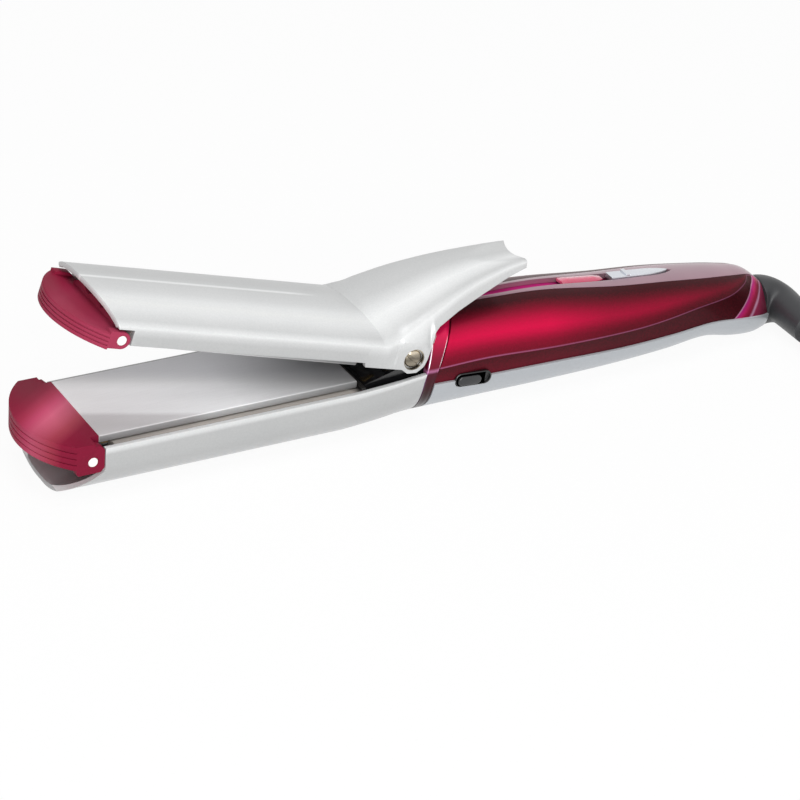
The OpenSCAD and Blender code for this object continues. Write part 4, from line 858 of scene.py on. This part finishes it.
class CRIMPER_OT_lower_jaw(bpy.types.Operator):
    """Lower jaw shell: a trough with its front wall cut back for the tip cap"""
    bl_idname = "crimper.lower_jaw"
    bl_label = "Lower jaw"

    def execute(self, context):
        s = sizes()
        bm = surface(LOWER_STATIONS, 60, lower_jaw_point, at(-50, 0, -8))
        shell = add_piece("lower_jaw_lacquered", bm, "lower_jaw_shell", "lower_pearl",
                          s.jaw_wall)
        front = [(-130, 4), (-101.2, 4), (-101.2, -15.7), (-112.6, -24.5), (-130, -24.5)]
        carve(shell, block(front, -30, 30, crosswise), block(screw_hole(-4), -30, -24.4, at))
        add_bevel(shell, s.edge_round)
        return {"FINISHED"}


def screw_hole(x):
    """Outline of a housing screw's hole in the underside"""
    return stadium(x, 0, 5.9, 5.9, count=16)


# ---- handle ----
HANDLE_STATIONS = steps((8, 9, 3), (9, 26.6, 12), (26.6, 27.4, 4), (27.4, 122, 44), (122, 136, 14),
                        (136, 141, 8))
HANDLE_MIDDLE = at(70, 0, -12)
# Columns of each side below the ridge and in the panel above it, and of the strip channel's floor
BELOW_RIDGE = 8
PANEL = 22
FLOOR = 8
UPPER_COLUMNS = 2 * (BELOW_RIDGE + PANEL + 1) + FLOOR


def upper_handle_point(x, v):
    """Point on the upper handle shell: side below the ridge, panel, then the strip's channel"""
    j = round(v * UPPER_COLUMNS)
    side = -1 if j <= UPPER_COLUMNS / 2 else 1
    k = min(j, UPPER_COLUMNS - j)
    half = along(STRIP, x, 1)
    a_seam = angle_of(x, along(HANDLE, x, 4))
    a_edge = math.acos(min(1.0, half / along(HANDLE, x, 1)))
    a_ridge = min(angle_of(x, along(RIDGE, x, 1)), a_edge - 0.02)
    if k <= BELOW_RIDGE:
        t = k / BELOW_RIDGE
        px, _, pz = handle_point(x, a_seam + (a_ridge - a_seam) * t)
        seam_y = handle_point(x, a_seam)[1] + sizes().undercut * 1000
        py = seam_y + (handle_point(x, a_ridge)[1] - seam_y) * t
    elif k <= BELOW_RIDGE + PANEL:
        px, py, pz = handle_point(x, a_ridge + (a_edge - a_ridge) * (k - BELOW_RIDGE) / PANEL)
    else:
        y = half * (2 * (j - BELOW_RIDGE - PANEL - 1) / FLOOR - 1)
        return ribbon_point(x, y, -sizes().strip_depth * 1000 if x > 27 else 0.0)
    return at(px, py if side < 0 else -py, pz)


def lower_handle_point(x, v):
    """Point on the lower handle shell, from the far seam round the bottom to the near one"""
    a = angle_of(x, along(HANDLE, x, 4))
    return at(*handle_point(x, math.pi - a + (math.pi + 2 * a) * v))


def ribbon_point(x, y, lift):
    """Point above the handle's crown at station x"""
    px, _, pz = handle_point(x, math.pi / 2)
    return at(px, y, pz - crown_drop(x, y) + lift)


def lock_cut(length, height, y0, y1, shift=0.0):
    """Prism of a slot at the jaw lock's place"""
    outline = stadium(22.4, -11.9, length, height, math.radians(4))
    return block([(x + shift, z) for x, z in outline], y0, y1, crosswise)


class CRIMPER_OT_handle(bpy.types.Operator):
    """Upper and lower handle shells, parted along the side"""
    bl_idname = "crimper.handle"
    bl_label = "Handle shells"

    def execute(self, context):
        s = sizes()
        bm = surface(HANDLE_STATIONS, UPPER_COLUMNS, upper_handle_point, HANDLE_MIDDLE)
        upper = add_piece("handle_upper_lacquered", bm, "handle_upper_shell", "candy",
                          s.handle_wall, angle=50)
        carve(upper, lock_cut(13.2, 4.6, -24, -15))
        add_bevel(upper, s.edge_round * 0.6, angle=22)
        bm = surface(HANDLE_STATIONS, 48, lower_handle_point, HANDLE_MIDDLE)
        lower = add_piece("handle_lower_lacquered", bm, "handle_lower_shell", "under_pearl",
                          s.handle_wall)
        carve(lower, lock_cut(13.2, 4.6, -24, -15),
              *[block(screw_hole(x), -30, along(HANDLE, x, 3) + 1.1, at) for x in (44, 106)])
        add_bevel(lower, s.edge_round)
        return {"FINISHED"}


# ---- collar ----
# place along the band and depth below its surface, round a closed profile
COLLAR_PROFILE = [(0.0, 2.1), (0.0, 0.7), (0.03, 0.25), (0.09, 0.02), (0.18, 0.12), (0.45, 0.0), (0.72, 0.0),
                  (0.84, 0.12), (0.92, 0.0), (0.975, 0.3), (1.0, 0.8), (1.0, 2.1), (0.5, 2.1)]


def collar_point(u, v):
    """Point on the collar, at a share of the way round the neck and of its profile"""
    half, top, low = COLLAR
    n = len(COLLAR_PROFILE)
    t, inset = COLLAR_PROFILE[round(v * n) % n]
    a = 2 * math.pi * u
    z = (top + low) / 2 + ((top - low) / 2 - inset) * math.sin(a)
    front, rear = rake_front(z) + 0.12, rake_rear(z) - 0.12
    return at(front + (rear - front) * t, -(half - inset) * math.cos(a), max(z, TABLE))


class CRIMPER_OT_collar(bpy.types.Operator):
    """Lacquered band round the neck with a bead on each raked edge"""
    bl_idname = "crimper.collar"
    bl_label = "Collar"

    def execute(self, context):
        bm = surface(steps((0, 1, 144)), len(COLLAR_PROFILE), collar_point)
        add_piece("collar_lacquered", bm, "collar_ring", "collar", angle=60)
        return {"FINISHED"}


# ---- trim on top of the handle ----
SLOT_HALF = 2.3
SLOT = (28.5, 106.5)
LENS = (64.0, 79.6)
SLIDER = (82.5, 104.9)
# way back from a slot's pointed end and half width there, as shares of its point and half width
POINT = [(1, 1), (0.7, 0.9), (0.35, 0.62), (0.1, 0.25), (0, 0)]


def slot_outline(x0, x1, half, point):
    """Outline that is square at x0 and runs to a soft point at x1"""
    tip = [(x1 - back * point, -wide * half) for back, wide in POINT]
    return [(x0, -half), *tip, *[(x, -y) for x, y in tip[-2::-1]], (x0, half)]


def strip_point(x, v):
    return ribbon_point(x, (2 * v - 1) * (along(STRIP, x, 1) - 0.03), 0.1)


def lens_point(x, v):
    u = (x - LENS[0]) / (LENS[1] - LENS[0])
    half = SLOT_HALF - 0.06 - 1.1 * max(0.0, (x - LENS[1] + 4) / 4) ** 2
    dome = 0.45 * (1 - (2 * v - 1) ** 2) * min(1.0, 6 * u, 6 * (1 - u))
    return ribbon_point(x, (2 * v - 1) * half, 0.05 + dome)


class CRIMPER_OT_trim(bpy.types.Operator):
    """Trim strip with its slot, the pilot lens and the power slider"""
    bl_idname = "crimper.trim"
    bl_label = "Trim strip"

    def execute(self, context):
        bm = surface(steps((27.1, 120, 60), (120, 141, 20)), 10, strip_point, at(80, 0, -30))
        strip = add_piece("control_strip_film", bm, "control_strip", "strip",
                          sizes().strip_depth)
        carve(strip, block(slot_outline(*SLOT, SLOT_HALF, 9), -20, 20, at))
        add_bevel(strip, 0.00025)
        bm = surface(steps((*LENS, 40)), 12, lens_point, at(72, 0, -30))
        add_piece("pilot_lens_acrylic", bm, "pilot_lens", "lens", 0.0012, 0.0002)

        mid = (SLIDER[0] + SLIDER[1]) / 2
        slope = (along(HANDLE, SLIDER[1], 2) - along(HANDLE, SLIDER[0], 2)) / (SLIDER[1] - SLIDER[0])
        top = along(HANDLE, mid, 2)

        def slider_place(a, b, d):
            return at(a, b, top + (a - mid) * slope + d)

        # Cap, its cross ridge and raised pad, and the stem through the strip
        bm = join(block(slot_outline(*SLIDER, SLOT_HALF - 0.35, 8.4), -1.2, 0.5, slider_place),
                  block(box_outline(mid - 5.7, -1.95, mid - 4.3, 1.95), 0.3, 1.1, slider_place),
                  block(box_outline(mid - 4.0, -1.5, mid + 6.0, 1.5), 0.4, 0.62, slider_place),
                  block(box_outline(mid - 2, -1.1, mid + 2, 1.1), -7.3, -1.1, slider_place))
        round_edges(bm, 0.28, 3)
        add_piece("power_slider_cap", bm, "power_slider", "slider")
        return {"FINISHED"}


# ---- jaw lock ----
class CRIMPER_OT_lock(bpy.types.Operator):
    """Oval recess in the near side with the jaw lock's slider"""
    bl_idname = "crimper.lock"
    bl_label = "Jaw lock"

    def execute(self, context):
        bezel = add_piece("lock_bezel_oval", lock_cut(13.1, 4.5, -20.0, -16.9), "lock_bezel", "bezel")
        carve(bezel, lock_cut(11.9, 3.6, -23, -19.2), lock_cut(6.9, 2.2, -23, -15))
        add_bevel(bezel, 0.0003)
        bm = join(lock_cut(8.2, 3.0, -20.7, -19.7, -1.5), lock_cut(3.0, 1.4, -20.0, -15.4, -1.5))
        round_edges(bm, 0.42, 3)
        add_piece("jaw_lock_slider", bm, "jaw_lock", "lock")
        return {"FINISHED"}


# ---- hinge ----
# radius and distance from the middle: screw in one closed outline, as cuts need shapes that don't overlap,
# and the plain nickel ring that lines its recess
SCREW = [(0, 17.5), (1.9, 17.5), (1.9, 19.6), (2.75, 19.6), (2.85, 19.8),
         (2.82, 20.2), (2.55, 20.52), (2.0, 20.72), (1.2, 20.8), (0, 20.82)]
SCREW_RING = [(3.22, 19.75), (3.46, 19.75), (3.46, 20.95), (3.36, 20.98), (3.22, 20.9), (3.22, 19.75)]


class CRIMPER_OT_hinge(bpy.types.Operator):
    """Hinge core, axle, spring and the two slotted screws in their recesses"""
    bl_idname = "crimper.hinge"
    bl_label = "Hinge"

    def execute(self, context):
        finish_node("hinge_yoke", "hinge", "hinge_black", 0.5, 3)
        finish_node("hinge_axle", "axle", "axle_steel", 0.3)
        finish_node("torsion_spring", "spring", "spring_steel")
        both = bmesh.new()
        for side in (-1, 1):
            def place(a, b, d, side=side):
                return at(a, side * d, b)
            join(both, turned(SCREW, place), turned(SCREW_RING, place))
        screws = add_piece("hinge_screws_slotted", both, "hinge_screws", "screw")
        slot = stadium(0, 0, 7.2, 1.15, math.radians(40))
        carve(screws, *[block(slot, side * 19.95, side * 24, crosswise) for side in (-1, 1)])
        add_bevel(screws, 0.00012)
        return {"FINISHED"}


# ---- tip caps, plates and what is behind them ----
class CRIMPER_OT_tip_caps(bpy.types.Operator):
    """Crimson tip caps with their white release pins"""
    bl_idname = "crimper.tip_caps"
    bl_label = "Tip caps"

    def execute(self, context):
        for jaw in ("lower", "upper"):
            finish_node(f"{jaw}_tip_cap", f"{jaw}_cap", "crimson_cap", 0.22, 2, 40)
        for pin in ("lower_pin_near", "lower_pin_far", "upper_pin_near", "upper_pin_far"):
            finish_node(pin, "pin", "pin_white", 0.3, 3)
        return {"FINISHED"}


class CRIMPER_OT_plates(bpy.types.Operator):
    """Flat and crimping plates, heater pads, contacts and the rails they slide in"""
    bl_idname = "crimper.plates"
    bl_label = "Plates"

    def execute(self, context):
        for jaw in ("lower", "upper"):
            finish_node(f"{jaw}_flat_plate", "plate", "satin_plate", 0.4, 3)
            finish_node(f"{jaw}_crimp_plate", "crimp", "crimp_plate", 0.3)
            finish_node(f"{jaw}_heater", "mica", "heater_mica", 0.2)
            finish_node(f"{jaw}_contacts", "brass", "contact_brass", 0.2)
            finish_node(f"{jaw}_jaw_carrier", "rail", "inner_black", 0.25)
        return {"FINISHED"}


# node, finish, slot and rounding
INSIDE = [
    ("handle_chassis", "inner", "inner_black", 0.3), ("control_board", "board", "board_green", 0.15),
    ("slide_switch", "inner", "inner_black", 0.3), ("pilot_led", "led", "led_red", 0.3),
    ("thermal_fuse", "fuse", "fuse_tan", 0.3), ("handle_leads", "wire", "wire_red", 0.0),
    ("handle_screws", "axle", "axle_steel", 0.15), ("swivel_socket", "inner", "inner_black", 0.3),
]


class CRIMPER_OT_inside(bpy.types.Operator):
    """Chassis, board, switch, lamp, fuse, leads, screws and socket inside the handle"""
    bl_idname = "crimper.inside"
    bl_label = "Inside the handle"

    def execute(self, context):
        for piece in INSIDE:
            finish_node(*piece)
        return {"FINISHED"}


# ---- cord guard, cord and plug ----
EXIT = (141.4, -18.3)
ELBOW = 7.4
GUARD_TAIL = 45.4
GUARD_FALL = 2.6
GUARD_ARC = ELBOW * math.pi / 2
GUARD_GAPS = [22.7, 27.7, 32.8, 37.8]
GUARD_STATIONS = steps((0, 0.8, 4), (0.8, GUARD_ARC, 16), (GUARD_ARC, GUARD_ARC + 12, 10),
                       (GUARD_ARC + 12, GUARD_ARC + 33, 84), (GUARD_ARC + 33, GUARD_ARC + 38, 10))


def guard_radius(s):
    """Radius of the guard at a length along it"""
    y = s - GUARD_ARC + ELBOW
    body = 8.4 + (6.4 - 2.2 * ELBOW / GUARD_TAIL - 8.4) * smooth((s - 1.5) / (GUARD_ARC - 0.5))
    if s > GUARD_ARC:
        body = 6.4 - 2.2 * y / GUARD_TAIL
    body -= 0.5 * max(0.0, 1 - s / 0.7)
    gap = min(abs(y - g) for g in GUARD_GAPS)
    body -= sizes().rib_depth * 1000 * smooth((1.45 - gap) / 0.5)
    return body - 0.9 * smooth((y - GUARD_TAIL + 1.0) / 1.0)


def guard_point(s, v):
    """Point on the cord guard at a length along it"""
    r = guard_radius(s)
    phi = 2 * math.pi * v
    out, up = r * math.cos(phi), r * math.sin(phi)
    if s <= GUARD_ARC:
        turn = math.pi / 2 - s / ELBOW
        reach = ELBOW + max(out, 0.15 - ELBOW)
        x, y = EXIT[0] + reach * math.cos(turn), -ELBOW + reach * math.sin(turn)
    else:
        x, y = EXIT[0] + ELBOW + out, -(s - GUARD_ARC + ELBOW)
    fall = GUARD_FALL * smooth(max(0.0, -y) / GUARD_TAIL)
    return at(x, y, EXIT[1] - fall + up)


class CRIMPER_OT_guard(bpy.types.Operator):
    """Swivel hub and the rubber guard that bends the cord to the near side"""
    bl_idname = "crimper.guard"
    bl_label = "Cord guard"

    def execute(self, context):
        bm = surface(GUARD_STATIONS, 48, guard_point)
        add_piece("cord_guard_rubber", bm, "cord_guard", "rubber", angle=50)
        finish_node("swivel_hub", "inner", "hinge_black", 0.3)
        return {"FINISHED"}


CORD_Z = TABLE + 0.3 + 3.1
LEAD_FROM = (148.8, -45.4, -20.9)
LEAD_BEND = 28.0
LEAD_Y = -79.6
COIL_RADIUS = 48.6
COIL_STEP = 6.7
COIL_TURNS = 3.5
COIL_MIDDLE = (LEAD_FROM[0] + COIL_RADIUS + 4.6, LEAD_Y + COIL_RADIUS)
TAIL_BEND = 26.0
PLUG_AXIS = CORD_Z + COIL_STEP + 3.1 + 7.05


def coil_point(t):
    """Point of the two-layer coil after t turns: inwards on the table, a climb, then outwards on top"""
    inner = COIL_RADIUS - COIL_TURNS * COIL_STEP
    u = max(0.0, min(1.0, (t - COIL_TURNS) / 0.5))
    if t < COIL_TURNS:
        r = COIL_RADIUS - COIL_STEP * t
    else:
        r = inner + COIL_STEP * max(0.0, t - COIL_TURNS - 0.5)
    r -= COIL_STEP / (2 * math.pi) * math.sin(math.pi * u)
    a = 1.5 * math.pi + 2 * math.pi * t
    rise = tail_rise((t - 2 * COIL_TURNS - 0.5) * 2 * math.pi * COIL_RADIUS)
    return (COIL_MIDDLE[0] + r * math.cos(a), COIL_MIDDLE[1] + r * math.sin(a),
            CORD_Z + COIL_STEP * smooth(u) + rise)


def tail_rise(s):
    """Rise of the tail over the coil, at a way past the last turn's end"""
    return (PLUG_AXIS - CORD_Z - COIL_STEP) * smooth((s + 20) / 60)


def cord_route():
    """Points of the whole cord from the guard to the plug"""
    x, y, z = LEAD_FROM
    low = z - 0.1
    route = [(x, y - 6.2 * i / 3, z - 0.1 * i / 3) for i in range(4)]
    for i in range(1, 13):
        a = math.radians(7.5 * i)
        route.append((x + LEAD_BEND * (1 - math.cos(a)), LEAD_Y + LEAD_BEND * (1 - math.sin(a)),
                      low + (CORD_Z - low) * smooth(0.75 * i / 8)))
    corner = x + LEAD_BEND
    route += [(corner + (COIL_MIDDLE[0] - corner) * i / 5, LEAD_Y, CORD_Z) for i in range(1, 5)]
    route += [coil_point(i / 48) for i in range(int((2 * COIL_TURNS + 0.5) * 48) + 1)]
    x, y, z = COIL_MIDDLE[0], COIL_MIDDLE[1] + COIL_RADIUS - TAIL_BEND, CORD_Z + COIL_STEP
    for i in range(1, 13):
        a = math.radians(7.5 * i)
        route.append((x - TAIL_BEND * math.sin(a), y + TAIL_BEND * math.cos(a), z + tail_rise(TAIL_BEND * a)))
    return route + [(x - TAIL_BEND, y - 3.1, PLUG_AXIS), (x - TAIL_BEND, y - 6.2, PLUG_AXIS)]


class CRIMPER_OT_cord(bpy.types.Operator):
    """Mains cord, coiled beside the appliance, with its tie and plug"""
    bl_idname = "crimper.cord"
    bl_label = "Cord and plug"

    def execute(self, context):
        points = [at(*p) for p in cord_route()]
        line = bpy.data.curves.new("mains_cord", "CURVE")
        line.dimensions = "3D"
        spline = line.splines.new("POLY")
        spline.points.add(len(points) - 1)
        for point, place in zip(spline.points, points):
            point.co = (*place, 1.0)
        line.bevel_depth = sizes().cord_diameter / 2
        line.bevel_resolution = 5
        line.use_fill_caps = True
        line.materials.append(finish("cord"))
        cord = bpy.data.objects.new("mains_cord", line)
        context.scene.collection.objects.link(cord)
        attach(cord, "cord")
        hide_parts("cord_lead", "cord_coil")
        pieces = [finish_node("coil_tie", "cord", "guard_black", 0.25),
                  finish_node("plug_body", "plug", "plug_black", 1.4, 4, 40),
                  finish_node("plug_pins", "pins", "plug_brass", 0.7, 4)]
        return {"FINISHED"}


# ---- stage ----
CAMERA_RIGHT = (0.87065704, -0.48682491, 0.07041186)
CAMERA_UP = (0.18914263, 0.46347862, 0.86568622)
CAMERA_BACK = (-0.45407201, -0.74039792, 0.49561027)
CAMERA_PLACE = (-0.452759, -0.735840, 0.492464)


def lamp(name, place, target, size, power):
    light = bpy.data.lights.new(name, "AREA")
    light.shape = "SQUARE"
    light.size = size
    light.energy = power
    holder = bpy.data.objects.new(name, light)
    bpy.context.scene.collection.objects.link(holder)
    aim = (Vector(target) - Vector(place)).to_track_quat("-Z", "Y").to_matrix().to_4x4()
    holder.matrix_world = Matrix.Translation(place) @ aim


class CRIMPER_OT_stage(bpy.types.Operator):
    """Camera, pale floor, plain white surroundings and soft lamps"""
    bl_idname = "crimper.stage"
    bl_label = "Stage"

    def execute(self, context):
        scene = context.scene
        data = bpy.data.cameras.new("camera")
        data.lens = 144
        data.sensor_width = 36
        data.clip_end = 20
        camera = bpy.data.objects.new("camera", data)
        scene.collection.objects.link(camera)
        turn = Matrix((CAMERA_RIGHT, CAMERA_UP, CAMERA_BACK)).transposed().to_4x4()
        camera.matrix_world = Matrix.Translation(CAMERA_PLACE) @ turn
        scene.camera = camera
        scene.view_settings.view_transform = "Standard"

        scene.world = bpy.data.worlds.new("studio")
        scene.world.use_nodes = True
        tree = scene.world.node_tree
        tree.nodes.clear()
        soft, white = (add(tree, "Background", {"Color": "#FFFFFF", "Strength": s}) for s in (0.38, 1.0))
        mix = add(tree, "MixShader", {0: seen_plainly(tree), 1: soft, 2: white})
        add(tree, "OutputWorld", {"Surface": mix})

        bm = bmesh.new()
        bmesh.ops.create_grid(bm, x_segments=2, y_segments=2, size=3.0)
        mesh = bpy.data.meshes.new("floor")
        bm.to_mesh(mesh)
        bm.free()
        mesh.materials.append(new_material("matt_white_paper", white_paper))
        floor = bpy.data.objects.new("floor", mesh)
        scene.collection.objects.link(floor)

        lamp("key", (-0.15, -0.35, 1.1), (0, 0, 0), 0.7, 5.0)
        lamp("front", (-0.4, -0.95, 0.55), (-0.05, 0, 0.02), 0.6, 8.0)
        return {"FINISHED"}


# ---- sidebar panel and registration ----
OPERATORS = [
    CRIMPER_OT_stage, CRIMPER_OT_cord, CRIMPER_OT_guard, CRIMPER_OT_upper_jaw, CRIMPER_OT_lower_jaw,
    CRIMPER_OT_tip_caps, CRIMPER_OT_plates, CRIMPER_OT_hinge, CRIMPER_OT_collar, CRIMPER_OT_handle,
    CRIMPER_OT_trim, CRIMPER_OT_lock, CRIMPER_OT_inside,
]


class CRIMPER_PT_pieces(bpy.types.Panel):
    """Pieces, sizes and colours of the crimper"""
    bl_label = "Hair crimper"
    bl_idname = "CRIMPER_PT_pieces"
    bl_space_type = "VIEW_3D"
    bl_region_type = "UI"
    bl_category = "Crimper"

    def draw(self, context):
        for kind in OPERATORS:
            self.layout.operator(kind.bl_idname)
        for group in (sizes(), colours()):
            box = self.layout.box()
            for name in group.__annotations__:
                box.prop(group, name)


CLASSES = [CrimperSizes, CrimperColours, *OPERATORS, CRIMPER_PT_pieces]


def register():
    for kind in CLASSES:
        bpy.utils.register_class(kind)
    bpy.types.Scene.crimper_sizes = bpy.props.PointerProperty(type=CrimperSizes)
    bpy.types.Scene.crimper_colours = bpy.props.PointerProperty(type=CrimperColours)


def unregister():
    del bpy.types.Scene.crimper_colours
    del bpy.types.Scene.crimper_sizes
    for kind in reversed(CLASSES):
        bpy.utils.unregister_class(kind)


def main():
    register()
    for kind in OPERATORS:
        group, name = kind.bl_idname.split(".")
        getattr(getattr(bpy.ops, group), name)()
    bpy.context.view_layer.update()


if __name__ == "__main__":
    main()
